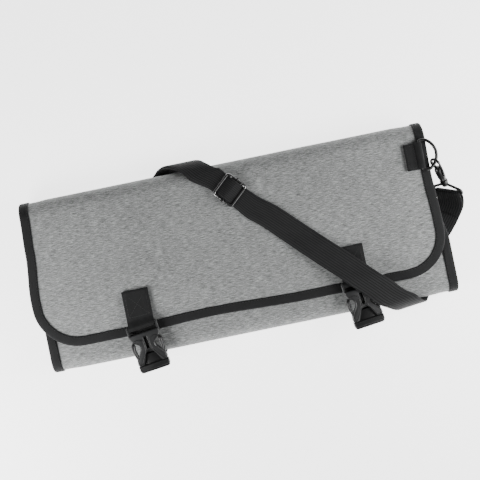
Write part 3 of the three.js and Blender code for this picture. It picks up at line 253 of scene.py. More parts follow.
@dataclass(frozen=True)
class Grain:
    """Noise drawn out over a UV map: its counts to the metre, its layer, detail and roughness."""

    first: float
    second: float
    layer: float = 0.0
    detail: float = 2.0
    rough: float = 0.6

    def over(self, g: Graph, u: Shade, v: Shade) -> Shade:
        """The noise over two coordinates in metres."""
        place = g.vector(u * self.first, v * self.second, self.layer)
        return g.noise(place, 1.0, self.detail, self.rough)


@dataclass(frozen=True)
class HeatherCloth:
    """Melange polyester cloth: a fine plain weave with light and dark streaks along the roll.

    The tones are greys by the place on the mixed streaks, from the darkest to the lightest.
    """

    tones: Table = ((0.4, 0.10625), (0.475, 0.2091), (0.53, 0.306), (0.6, 0.506))
    long_streaks: Grain = Grain(95.0, 1950.0)
    short_streaks: Grain = Grain(200.0, 2000.0, 2.0)
    flecks: Grain = Grain(700.0, 1900.0, 4.0, 1.0, 0.5)
    patches: Grain = Grain(14.0, 22.0, 7.0, 2.0, 0.5)
    patch_depth: float = 0.045
    thread: float = 0.00045
    weave_depth: float = 0.00022
    roughness: float = 0.86
    sheen: float = 0.12

    def make(self) -> Material:
        """Builds the material on the panel's own UV map."""
        g = Graph("heather_cloth")
        across, along = g.uv("cloth")
        long, short, flecks, patches = (
            grain.over(g, across, along)
            for grain in (self.long_streaks, self.short_streaks, self.flecks, self.patches)
        )
        mixed = long * 0.42 + short * 0.4 + flecks * 0.18 + (patches - 0.5) * self.patch_depth
        turn = pi / self.thread
        warp = (across * turn).wave()
        weft = (along * turn).wave()
        weave = (warp * weft).size() * 0.6 + warp.size() * 0.2 + weft.size() * 0.2
        slub = long * 0.6 + flecks * 0.8
        return g.surface(
            {
                "Base Color": g.ramp(mixed, [(place, melange(tone)) for place, tone in self.tones]),
                "Roughness": self.roughness,
                "Sheen Weight": self.sheen,
                "Sheen Roughness": 0.5,
                "Specular IOR Level": 0.28,
                "Normal": g.bump(weave + slub, 0.35, self.weave_depth),
            }
        )


@dataclass(frozen=True)
class RibbedTape:
    """Black tape or webbing on a UV map of metres along and across.

    The pitch is that of its ribs, the cord that of the cords along it, and the depth that of its relief.
    """

    name: str
    tone: float
    pitch: float
    cord: float
    depth: float
    sheen: float
    roughness: float = 0.72
    fuzz: Grain = Grain(700.0, 1400.0)
    wear: Grain = Grain(60.0, 160.0, 3.0, 3.0)

    def make(self) -> Material:
        """Builds the material."""
        g = Graph(self.name)
        along, across = g.uv("tape")
        turn = 2 * pi / self.pitch
        cords = (across * (pi / self.cord)).wave().size()
        ribs = ((along + cords * (self.pitch * 0.35)) * turn).wave() * 0.5 + 0.5
        fuzz = self.fuzz.over(g, along, across)
        # Painted shade and highlight: the colour ramp darkens the grooves between the cords and ribs and
        # lightens their crests.
        crest = cords.step(0.0, 0.75) * (ribs * 0.35 + 0.65)
        tone = crest * 0.62 + fuzz * 0.25 + self.wear.over(g, along, across) * 0.18
        stops = (
            (0.15, grey(self.tone * 0.15, 0.02)),
            (0.6, grey(self.tone, 0.02)),
            (0.95, grey(self.tone * 3.0, 0.03)),
        )
        return g.surface(
            {
                "Base Color": g.ramp(tone, stops),
                "Roughness": self.roughness,
                "Sheen Weight": self.sheen,
                "Sheen Roughness": 0.45,
                "Specular IOR Level": 0.2,
                "Normal": g.bump(crest + fuzz * 0.35, 0.55, self.depth),
            }
        )


@dataclass(frozen=True)
class MouldedPlastic:
    """Moulded acetal with a fine grain and slightly worn high spots."""

    name: str
    tone: float
    roughness: float

    def make(self) -> Material:
        """Builds the material."""
        g = Graph(self.name)
        grain = g.noise(g.place(), 3200.0, 3.0, 0.65)
        cloud = g.noise(g.place(), 160.0, 3.0, 0.55)
        scuffs = g.noise(g.place(), 520.0, 4.0, 0.7).step(0.56, 0.78)
        tone = cloud * 0.5 + scuffs * 0.5
        stops = ((0.1, grey(self.tone * 0.86, 0.02)), (0.9, grey(self.tone * 1.3, 0.02)))
        return g.surface(
            {
                "Base Color": g.ramp(tone, stops),
                "Roughness": self.roughness + (cloud - 0.5) * 0.16 + scuffs * 0.08,
                "Specular IOR Level": 0.5,
                "Normal": g.bump(grain + cloud * 0.3, 0.28, 0.00006),
            }
        )


@dataclass(frozen=True)
class LacqueredMetal:
    """Black lacquer on cast zinc and steel wire, satin as a rule and bright on the slider's loop."""

    name: str
    tone: float = 0.004
    roughness: float = 0.26
    coat: float = 0.3
    coat_index: float = 1.45

    def make(self) -> Material:
        """Builds the material."""
        g = Graph(self.name)
        peel = g.noise(g.place(), 700.0, 1.0, 0.5)
        rubbed = g.noise(g.place(), 260.0, 4.0, 0.7).step(0.6, 0.8)
        stops = ((0.0, grey(self.tone, 0.02)), (1.0, grey(self.tone * 4.5, 0.02)))
        return g.surface(
            {
                "Base Color": g.ramp(rubbed, stops),
                "Roughness": self.roughness + peel * 0.08 + rubbed * 0.1,
                "Specular IOR Level": 0.45,
                "Coat Weight": self.coat,
                "Coat Roughness": 0.1,
                "Coat IOR": self.coat_index,
                "Normal": g.bump(peel, 0.05, 0.0001),
            }
        )


@dataclass(frozen=True)
class Thread:
    """Twisted sewing thread."""

    name: str
    tone: float

    def make(self) -> Material:
        """Builds the material."""
        g = Graph(self.name)
        twist = g.noise(g.place(), 2600.0, 2.0, 0.6)
        stops = ((0.3, grey(self.tone * 0.6)), (0.75, grey(self.tone * 1.6)))
        return g.surface(
            {
                "Base Color": g.ramp(twist, stops),
                "Roughness": 0.7,
                "Sheen Weight": 0.2,
                "Normal": g.bump(twist, 0.5, 0.0001),
            }
        )


@dataclass(frozen=True)
class StudioPaper:
    """The plain white ground, lit from below as a light table is."""

    glow: float = 2.8

    def make(self) -> Material:
        """Builds the material."""
        g = Graph("studio_paper")
        tooth = g.noise(g.place(), 60.0, 2.0, 0.5)
        stops = ((0.0, (0.9, 0.9, 0.9, 1.0)), (1.0, (0.93, 0.93, 0.93, 1.0)))
        return g.surface(
            {
                "Base Color": g.ramp(tooth, stops),
                "Roughness": 0.9,
                "Specular IOR Level": 0.1,
                "Emission Color": (1.0, 1.0, 1.0, 1.0),
                "Emission Strength": self.glow,
            }
        )


GROSGRAIN = RibbedTape("grosgrain_binding", tone=0.0105, pitch=0.0009, cord=0.0011, depth=0.00014, sheen=0.04)
TAB_WEBBING = RibbedTape("tab_webbing", tone=0.0088, pitch=0.0012, cord=0.0012, depth=0.0002, sheen=0.04)
STRAP_WEBBING = RibbedTape("ribbed_webbing", tone=0.0115, pitch=0.0017, cord=0.0027, depth=0.0004, sheen=0.05)
# The plug's acetal is made far darker than the socket's: partly a darker plastic, partly painted shade of the
# plug's downward-sloping faces.
SOCKET_PLASTIC = MouldedPlastic("socket_acetal", tone=0.024, roughness=0.36)
PLUG_PLASTIC = MouldedPlastic("plug_acetal", tone=0.009, roughness=0.34)
BRIGHT_LACQUER = LacqueredMetal("bright_lacquer", roughness=0.12, coat=1.0, coat_index=2.3)


@dataclass
class Finishes:
    """Every finish of the roll, made once."""

    cloth: Material = field(default_factory=HeatherCloth().make)
    binding: Material = field(default_factory=GROSGRAIN.make)
    tab: Material = field(default_factory=TAB_WEBBING.make)
    webbing: Material = field(default_factory=STRAP_WEBBING.make)
    socket: Material = field(default_factory=SOCKET_PLASTIC.make)
    plug: Material = field(default_factory=PLUG_PLASTIC.make)
    metal: Material = field(default_factory=LacqueredMetal("black_lacquer").make)
    bright: Material = field(default_factory=BRIGHT_LACQUER.make)
    thread: Material = field(default_factory=Thread("black_thread", tone=0.02).make)


@dataclass(frozen=True)
class Sizes:
    """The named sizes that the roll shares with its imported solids."""

    width: float = 470.0
    depth: float = 196.0
    wall: float = 5.0
    edge_wall: float = 3.2
    edge_flat: float = 16.0
    edge_rise: float = 18.0
    lower_fold: float = 12.0
    flap_short: float = 25.0
    flap_corner: float = 48.0
    inner_corner: float = 20.0
    gap: float = 0.3
    tape: float = 0.9
    tape_width: float = 11.0
    web_width: float = 30.0
    web: float = 1.5
    lip_drop: float = 1.0

    @property
    def half_width(self) -> float:
        """Half the roll's width."""
        return self.width / 2

    @property
    def half_depth(self) -> float:
        """Half the roll's depth."""
        return self.depth / 2

    @property
    def edge_reach(self) -> float:
        """Half the thickness of the bound edge."""
        return self.edge_wall / 2 + self.gap + self.tape

    @property
    def sheet_half(self) -> float:
        """Half the width of the sheet inside its binding."""
        return self.half_width - self.gap - self.tape

    @property
    def back_mid(self) -> float:
        """Height of the back's middle surface."""
        return 2 * self.web + 2 * self.gap + self.wall / 2

    @property
    def upper_fold(self) -> float:
        """Mid-wall radius of the upper fold."""
        return self.lower_fold + (self.wall / 2 + self.gap + self.edge_reach + self.lip_drop) / 2

    @property
    def lower_fold_y(self) -> float:
        """Where the lower fold begins."""
        return -self.half_depth + self.lower_fold + self.wall / 2

    @property
    def upper_fold_y(self) -> float:
        """Where the upper fold begins."""
        return self.half_depth - self.upper_fold - self.wall / 2

    @property
    def flap_mid(self) -> float:
        """Height of the flap's middle surface."""
        return self.back_mid + 2 * self.upper_fold

    @property
    def flap_top(self) -> float:
        """Height of the flap's face."""
        return self.flap_mid + self.wall / 2

    @property
    def flap_edge_y(self) -> float:
        """Place of the flap's free edge."""
        return -self.half_depth + self.flap_short

    @property
    def flap_end_y(self) -> float:
        """Place of the sheet's end inside the binding of that edge."""
        return self.flap_edge_y + self.gap + self.tape


SIZE = Sizes()
BOX_SEAM_INSET = 3.2
BOX_SEAM_PITCH = 2.7


@dataclass(frozen=True)
class Run:
    """One straight or bent stretch of the panel's section."""

    name: str
    length: float
    turn: float
    start: float
    y: float
    z: float
    heading: float

    def at(self, along: float) -> tuple[float, float, float]:
        """The place and heading this far along."""
        turn = self.turn * along / self.length
        chord = along if turn == 0 else 2 * along * sin(turn / 2) / turn
        middle = self.heading + turn / 2
        return self.y + chord * cos(middle), self.z + chord * sin(middle), self.heading + turn


# Soft creases of the flap: from x, y to x, y in millimetres, half width and rise.
CREASES: Table = (
    (146, 84, 124, 26, 7, -0.75), (157, 80, 137, 30, 8, 0.45), (140, -36, 172, -60, 6, -0.9),
    (150, -28, 178, -46, 6, 0.5), (-141, 34, -145, -10, 6, -0.6), (-120, 20, -126, -30, 8, 0.35),
    (-78, 60, -60, 6, 11, -0.4), (-178, 40, -170, -40, 14, 0.35), (20, -20, 74, -34, 10, -0.4),
    (196, 30, 206, -30, 9, -0.4),
)


@dataclass
class PanelForm:
    """The folded panel's middle surface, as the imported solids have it, with the cloth's small waves."""

    lip_run: float = 30.0
    lip_ease: float = 20.0
    under_flat: float = 43.0
    inner_ease: float = 35.0
    inner_run: float = 20.0
    inner_tail: float = 12.0
    inner_slope: float = radians(12)
    bow: float = 3.5
    bow_middle: float = -0.19
    bow_reach: float = 0.47
    bow_fade: float = 110.0
    broad_wave: float = 0.34
    fine_wave: float = 0.13
    wave_sink: float = 0.12
    calm_edge: float = 4.0
    calm_run: float = 30.0
    runs: list[Run] = field(default_factory=list)
    length: float = 0.0
    spreads: list[tuple[float, float, float]] = field(default_factory=list)

    def __post_init__(self) -> None:
        """Lays the runs end to end and sets the sheet's widths along them."""
        s = SIZE
        lip = s.lip_drop / (self.lip_run + self.lip_ease / 2)
        plan = (
            ("lip", self.lip_run, 0.0),
            ("lip bend", self.lip_ease, -lip),
            ("flap", s.upper_fold_y - s.flap_end_y - self.lip_run - self.lip_ease, 0.0),
            ("upper fold", pi * s.upper_fold, -pi),
            ("back", s.upper_fold_y - s.lower_fold_y, 0.0),
            ("lower fold", pi * s.lower_fold, -pi),
            ("under layer", self.under_flat, 0.0),
            ("sink", self.inner_ease, -self.inner_slope),
            ("slope", self.inner_run, 0.0),
            ("level out", self.inner_ease, self.inner_slope),
            ("tail", self.inner_tail, 0.0),
        )
        y, z, heading = s.flap_end_y, s.flap_mid - s.lip_drop, lip
        for name, length, turn in plan:
            run = Run(name, length, turn, self.length, y, z, heading)
            self.runs.append(run)
            y, z, heading = run.at(length)
            self.length += length
        start = {run.name: run for run in self.runs}
        # Place along the section, and the sheet's shift and width there as shares of the full ones.
        self.spreads = [
            (0.0, -0.008, 1.002),
            (-0.14 * s.half_depth - s.flap_end_y, -0.0106, 1.004),
            (0.41 * s.half_depth - s.flap_end_y, -0.0079, 0.99),
            (start["upper fold"].start, -0.0053, 0.988),
            (start["back"].start + start["back"].length / 2, -0.0085, 0.985),
            (start["lower fold"].start, 0.0026, 0.998),
            (start["under layer"].start + self.under_flat, 0.0026, 0.998),
            (start["level out"].start, -0.0085, 0.985),
        ]

    def run(self, name: str) -> Run:
        """The run of that name."""
        return next(run for run in self.runs if run.name == name)

    def section(self, s: float) -> tuple[float, float, float]:
        """The place and heading of the section at s."""
        found = self.runs[0]
        for run in self.runs:
            if s >= run.start:
                found = run
        return found.at(s - found.start)

    def spread(self, s: float, column: int) -> float:
        """The sheet's shift or spread at s."""
        rows = self.spreads
        after = next((i for i, row in enumerate(rows) if row[0] > s), len(rows))
        if after == 0:
            return rows[0][column]
        if after == len(rows):
            return rows[-1][column]
        a, b = rows[after - 1], rows[after]
        return lerp(a[column], b[column], smooth((s - a[0]) / (b[0] - a[0])))

    def edge(self, s: float, side: int) -> float:
        """The sheet's left or right edge at s."""
        return self.spread(s, 1) * SIZE.width + side * self.spread(s, 2) * SIZE.sheet_half

    def corner(self, s: float) -> float:
        """The radius of the nearer corners."""
        return SIZE.flap_corner if s < self.length / 2 else SIZE.inner_corner

    def cut(self, s: float) -> float:
        """How far a corner cuts in from the edge at s."""
        radius = self.corner(s)
        rest = max(0.0, radius - min(s, self.length - s))
        return radius - sqrt(max(0.0, radius * radius - rest * rest))

    def inset(self, s: float, x: float) -> float:
        """The distance from the sheet's edge."""
        radius = self.corner(s)
        end = min(s, self.length - s)
        side = min(x - self.edge(s, -1), self.edge(s, 1) - x)
        if end >= radius or side >= radius:
            return min(end, side)
        return radius - hypot(radius - end, radius - side)

    def wall(self, s: float, x: float) -> float:
        """The padded wall's thickness."""
        return lerp(SIZE.edge_wall, SIZE.wall, smooth((self.inset(s, x) - SIZE.edge_flat) / SIZE.edge_rise))

    def on_flap(self, share: float) -> float:
        """The place along the section of a share of the half depth on the flap."""
        return share * SIZE.half_depth - SIZE.flap_end_y

    def on_back(self, share: float) -> float:
        """The place along the section of a share of the half depth on the back."""
        return self.run("back").start + SIZE.upper_fold_y - share * SIZE.half_depth

    def dents(self, s: float, x: float) -> float:
        """Soft dents and swellings out of the middle surface.

        Each row is a middle along the section, then a middle, half width and half depth as shares, and a
        rise in thicknesses of the wall.
        """
        rows = (
            (self.on_flap(-0.4), 0.63, 0.09, 0.17, -0.2),
            (self.on_flap(-0.34), -0.66, 0.12, 0.2, -0.12),
            (self.on_back(0.01), -0.66, 0.285, 0.78, -1.8),
        )
        rise = 0.0
        for middle, at, rx, ry, share in rows:
            u = (x / SIZE.half_width - at) / rx
            v = (s - middle) / (ry * SIZE.half_depth)
            rise += share * SIZE.wall * smooth(1.5 * (1 - hypot(u, v)))
        return rise

    def waves(self, s: float, x: float) -> float:
        """The cloth's slight waves and creases, dying out at the sheet's edges."""
        lively = smooth((self.inset(s, x) - self.calm_edge) / self.calm_run)
        broad = noise.noise(Vector((x / 95, s / 60, 1.7)))
        fine = noise.noise(Vector((x / 34, s / 26, 9.2)))
        raised = self.broad_wave * broad + self.fine_wave * fine + self.creased(s, x)
        return lively * raised - self.wave_sink * lively

    def creased(self, s: float, x: float) -> float:
        """Soft creases pressed into the flap."""
        sunk = 0.0
        for x0, y0, x1, y1, half, depth in CREASES:
            start = Vector((x0, y0 - SIZE.flap_end_y))
            run = Vector((x1, y1 - SIZE.flap_end_y)) - start
            here = Vector((x, s)) - start
            share = max(-0.1, min(1.1, here.dot(run) / run.length_squared))
            away = (here - run * share).length
            fade = smooth(1.2 - abs(2 * share - 1)) if abs(2 * share - 1) > 0.2 else 1.0
            sunk += depth * fade * exp(-((away / half) ** 2))
        return sunk

    def bowed(self, s: float, x: float) -> float:
        """How far the free edge is drawn up between the buckles."""
        across = (x / SIZE.half_width - self.bow_middle) / self.bow_reach
        return self.bow * smooth(1 - abs(across)) * max(0.0, 1 - s / self.bow_fade)

    def at(self, s: float, x: float, n: float) -> Point:
        """A place on the panel: s along the section, x across it, n out of its middle surface."""
        y, z, heading = self.section(s + self.bowed(s, x))
        out = n + self.dents(s, x)
        return Vector((x, y - out * sin(heading), z + out * cos(heading)))


def placed(name: str, data: ID) -> Object:
    """Puts a mesh, a lamp or a camera into the scene."""
    made = bpy.data.objects.new(name, data)
    bpy.context.scene.collection.objects.link(made)
    return made


def smoothed(made: Object, sharp: float | None = None) -> Object:
    """Shades a piece smooth, but for edges over an angle in degrees."""
    made.data.polygons.foreach_set("use_smooth", [True] * len(made.data.polygons))
    if sharp is not None:
        made.data.set_sharp_from_angle(angle=radians(sharp))
    return made


def rounder(made: Object, width: float, segments: int, angle: float) -> None:
    """Adds a bevel.

    Args:
        made: the piece.
        width: of the bevel, in millimetres.
        segments: faces across it.
        angle: the least angle in degrees between the faces of an edge that it rounds.
    """
    edge = made.modifiers.new("round", "BEVEL")
    edge.width = width * MM
    edge.segments = segments
    edge.limit_method = "ANGLE"
    edge.angle_limit = radians(angle)


@dataclass
class Workbench:
    """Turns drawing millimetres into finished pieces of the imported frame."""

    shift: Vector

    def mesh(
        self,
        name: str,
        points: Sequence[Point],
        edges: Sequence[Sequence[int]] = (),
        faces: Sequence[Sequence[int]] = (),
    ) -> Mesh:
        """A mesh from drawing millimetres.

        Args:
            name: the mesh's name.
            points: its corners.
            edges: pairs of corner numbers.
            faces: corner numbers of each face.

        Returns:
            The mesh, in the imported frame's metres.
        """
        mesh = bpy.data.meshes.new(name)
        moved = [(point + self.shift) * MM for point in points]
        mesh.from_pydata(moved, list(edges), [tuple(face) for face in faces])
        return mesh

    def piece(
        self,
        name: str,
        points: Sequence[Point],
        faces: Sequence[Sequence[int]],
        material: Material,
        coords: Pairs | None = None,
        layer: str = "tape",
    ) -> Object:
        """Makes a mesh object with smooth faces.

        Args:
            name: the piece's name.
            points: its corners in drawing millimetres.
            faces: corner numbers of each face.
            material: its finish.
            coords: metres along the surface for each corner of each face in turn.
            layer: the UV map's name.

        Returns:
            The object, at the origin.
        """
        mesh = self.mesh(name, points, faces=faces)
        if coords is not None:
            uv = mesh.uv_layers.new(name=layer)
            uv.data.foreach_set("uv", [value for pair in coords for value in pair])
        mesh.validate()
        mesh.materials.append(material)
        return smoothed(placed(name, mesh))

    def outward(self, made: Object) -> Object:
        """Turns a closed mesh's faces outwards."""
        work = bmesh.new()
        work.from_mesh(made.data)
        bmesh.ops.remove_doubles(work, verts=work.verts, dist=1e-6)
        bmesh.ops.recalc_face_normals(work, faces=work.faces)
        work.to_mesh(made.data)
        work.free()
        return made

    def baked(self, made: Object) -> Object:
        """Applies an object's modifiers to its mesh."""
        graph = bpy.context.evaluated_depsgraph_get()
        mesh = bpy.data.meshes.new_from_object(made.evaluated_get(graph))
        made.modifiers.clear()
        made.data = mesh
        return made

    def copy(self, node: str, name: str, material: Material, bevel: float, segments: int = 2) -> Object:
        """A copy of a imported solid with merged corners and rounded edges.

        Args:
            node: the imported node.
            name: the new piece's name.
            material: its finish.
            bevel: the round of its edges in millimetres.
            segments: faces across each round.

        Returns:
            The new object.
        """
        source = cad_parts[node]
        mesh = source.data.copy()
        mesh.transform(source.matrix_world)
        mesh.materials.clear()
        mesh.materials.append(material)
        made = placed(name, mesh)
        work = bmesh.new()
        work.from_mesh(mesh)
        bmesh.ops.remove_doubles(work, verts=work.verts, dist=2e-5)
        bmesh.ops.dissolve_limit(work, angle_limit=radians(2), verts=work.verts, edges=work.edges)
        work.to_mesh(mesh)
        work.free()
        rounder(made, bevel, segments, 28)
        return smoothed(self.baked(made), 40)


def finish(piece: Object, body: Body, slot: Slot, *nodes: str) -> Object:
    """Rides a piece on its body and hides the solids that it stands for."""
    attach(piece, body.value)
    if nodes:
        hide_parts(*nodes)
    LOG.info("%s: %d faces on %s", piece.name, len(piece.data.polygons), body.value)
    return piece


def swept(
    rings: Sequence[Sequence[Point]], places: Sequence[float], across: Sequence[float], closed: bool
) -> tuple[list[Point], list[list[int]], list[tuple[float, float]]]:
    """Joins rings of matching points into a skin with coordinates along and across it.

    Args:
        rings: the rings, each a closed loop of points.
        places: the distance of each ring along the sweep, with one more if it closes on itself.
        across: the distance of each ring point round the section, with one more for the seam.
        closed: whether the last ring joins the first.

    Returns:
        Points, faces and the faces' coordinates in metres.
    """
    count = len(rings[0])
    points = [point for ring in rings for point in ring]
    faces: list[list[int]] = []
    coords: list[tuple[float, float]] = []
    bays = len(rings) if closed else len(rings) - 1
    for i in range(bays):
        near, far = i * count, ((i + 1) % len(rings)) * count
        for j in range(count):
            k = (j + 1) % count
            faces.append([near + j, near + k, far + k, far + j])
            u0, u1, v0, v1 = places[i] * MM, places[i + 1] * MM, across[j] * MM, across[j + 1] * MM
            coords += [(u0, v0), (u0, v1), (u1, v1), (u1, v0)]
    if not closed:
        last = (len(rings) - 1) * count
        faces.append(list(range(count))[::-1])
        faces.append([last + j for j in range(count)])
        coords += [(places[0] * MM, across[j] * MM) for j in range(count)][::-1]
        coords += [(places[-1] * MM, across[j] * MM) for j in range(count)]
    return points, faces, coords


def distances(points: Sequence[Point]) -> list[float]:
    """Running distance along a row of points."""
    total = [0.0]
    for a, b in zip(points, points[1:]):
        total.append(total[-1] + (b - a).length)
    return total


class GrowingTree:
    """A Geometry Nodes tree with named lengths, which grows a piece on a mesh of points or edges."""

    def __init__(self, name: str, lengths: Sequence[str]) -> None:
        """Starts the tree with its named inputs."""
        self.tree = bpy.data.node_groups.new(name, "GeometryNodeTree")
        face = self.tree.interface
        face.new_socket("Geometry", in_out="INPUT", socket_type="NodeSocketGeometry")
        sockets = [face.new_socket(label, in_out="INPUT", socket_type="NodeSocketFloat") for label in lengths]
        face.new_socket("Geometry", in_out="OUTPUT", socket_type="NodeSocketGeometry")
        self.keys = [socket.identifier for socket in sockets]
        self.given = self.node("NodeGroupInput", {}).outputs

    def node(self, kind: str, inputs: dict[Any, Any]) -> Node:
        """Adds a node with values or links by socket name or number."""
        node = self.tree.nodes.new(kind)
        for key, value in inputs.items():
            if isinstance(value, NodeSocket):
                self.tree.links.new(value, node.inputs[key])
            else:
                node.inputs[key].default_value = value
        return node

    def end(self, skin: NodeSocket, material: Material) -> None:
        """Ends the tree in Realize Instances and Set Material."""
        real = self.node("GeometryNodeRealizeInstances", {0: skin})
        paint = self.node("GeometryNodeSetMaterial", {"Geometry": real.outputs[0], "Material": material})
        self.node("NodeGroupOutput", {"Geometry": paint.outputs[0]})

    def grow(self, bench: Workbench, mesh: Mesh, lengths: Sequence[float]) -> Object:
        """Runs the tree on a mesh and keeps the result as a plain mesh.

        Args:
            bench: bakes the result.
            mesh: the points or edges to grow on.
            lengths: the tree's inputs in turn, in millimetres.

        Returns:
            The piece.
        """
        made = placed(mesh.name, mesh)
        modifier = made.modifiers.new("grown", "NODES")
        modifier.node_group = self.tree
        for key, length in zip(self.keys, lengths):
            modifier[key] = length * MM
        return bench.baked(made)


class StitchTree(GrowingTree):
    """Lays one thread stitch on every point of a seam."""

    def __init__(self, material: Material) -> None:
        """Builds the tree with its named inputs."""
        super().__init__("sewn_stitches", ("Stitch Length", "Thread Thickness"))
        thick = self.given["Thread Thickness"]
        ball = self.node("GeometryNodeMeshUVSphere", {"Segments": 6, "Rings": 5, "Radius": 0.5})
        scale = self.node("ShaderNodeCombineXYZ", {0: self.given["Stitch Length"], 1: thick, 2: thick})
        ways = {0: self._attribute("ahead"), 1: self._attribute("up")}
        turn = self.node("FunctionNodeAxesToRotation", ways)
        turn.primary_axis = "X"
        turn.secondary_axis = "Z"
        links = {"Points": self.given["Geometry"], "Instance": ball.outputs["Mesh"]}
        links |= {"Rotation": turn.outputs[0], "Scale": scale.outputs[0]}
        self.end(self.node("GeometryNodeInstanceOnPoints", links).outputs[0], material)

    def _attribute(self, name: str) -> NodeSocket:
        """Reads a vector stored on the seam's points."""
        node = self.node("GeometryNodeInputNamedAttribute", {"Name": name})
        node.data_type = "FLOAT_VECTOR"
        return node.outputs[0]

    def sew(self, bench: Workbench, name: str, seam: Seam, length: float, thick: float) -> Object:
        """Lays the stitches.

        Args:
            bench: places the points in the frame.
            name: the piece's name.
            seam: each stitch's middle, direction and the way out of the cloth, in drawing millimetres.
            length: of a stitch, in millimetres.
            thick: of the thread, in millimetres.

        Returns:
            One mesh of all the stitches.
        """
        mesh = bench.mesh(name, [place for place, _, _ in seam])
        for label, column in (("ahead", 1), ("up", 2)):
            data = mesh.attributes.new(label, "FLOAT_VECTOR", "POINT").data
            data.foreach_set("vector", [value for row in seam for value in row[column]])
        made = self.grow(bench, mesh, (length, thick))
        for label in ("ahead", "up"):
            stale = made.data.attributes.get(label)
            if stale is not None:
                made.data.attributes.remove(stale)
        return smoothed(made)


class WireTree(GrowingTree):
    """Sweeps a round wire along a closed loop."""

    def __init__(self, material: Material) -> None:
        """Builds the tree with its named input."""
        super().__init__("bent_wire", ("Wire Radius",))
        line = self.node("GeometryNodeMeshToCurve", {0: self.given["Geometry"]})
        sides = {"Resolution": 14, "Radius": self.given["Wire Radius"]}
        circle = self.node("GeometryNodeCurvePrimitiveCircle", sides)
        links = {"Curve": line.outputs[0], "Profile Curve": circle.outputs[0]}
        self.end(self.node("GeometryNodeCurveToMesh", links).outputs[0], material)

    def bend(self, bench: Workbench, name: str, path: Sequence[Point], radius: float) -> Object:
        """Bends a wire.

        Args:
            bench: places the points in the frame.
            name: the piece's name.
            path: points along the closed loop, in drawing millimetres.
            radius: of the wire, in millimetres.

        Returns:
            The wire.
        """
        count = len(path)
        mesh = bench.mesh(name, path, [(i, (i + 1) % count) for i in range(count)])
        return smoothed(bench.outward(self.grow(bench, mesh, (radius,))))


def row_of_stitches(path: Sequence[Point], ups: Sequence[Vector], pitch: float) -> Seam:
    """Stitches at even steps along a path.

    Args:
        path: points along the seam.
        ups: the way out of the cloth at each.
        pitch: from one stitch to the next.

    Returns:
        Middle, direction and way out of each stitch.
    """
    marks = distances(path)
    count = max(1, round(marks[-1] / pitch))
    seam = []
    i = 0
    for step in range(count):
        at = (step + 0.5) * marks[-1] / count
        while i < len(path) - 2 and marks[i + 1] < at:
            i += 1
        span = max(1e-9, marks[i + 1] - marks[i])
        share = (at - marks[i]) / span
        seam.append((path[i].lerp(path[i + 1], share), (path[i + 1] - path[i]).normalized(), ups[i]))
    return seam


def box_seam(
    x: float, ends: tuple[float, float], face: float, up: float, bend: Callable[[Point], Point] = Vector
) -> Seam:
    """The crossed box that sews webbing down.

    Args:
        x: the webbing's middle.
        ends: the box's ends along the webbing.
        face: height of the stitches.
        up: 1 on an upper face and -1 on a lower one.
        bend: moves every point as the webbing does.

    Returns:
        Its stitches.
    """
    half = SIZE.web_width / 2 - BOX_SEAM_INSET
    corners = [(a, b) for b, row in zip(ends, ((-half, half), (half, -half))) for a in row]
    seam: Seam = []
    for i, j in ((0, 1), (1, 2), (2, 3), (3, 0), (0, 2), (1, 3)):
        a, b = corners[i], corners[j]
        path = [bend(Vector((x + lerp(a[0], b[0], k / 6), lerp(a[1], b[1], k / 6), face))) for k in range(7)]
        seam += row_of_stitches(path, [Vector((0, 0, up))] * 7, BOX_SEAM_PITCH)
    return seam


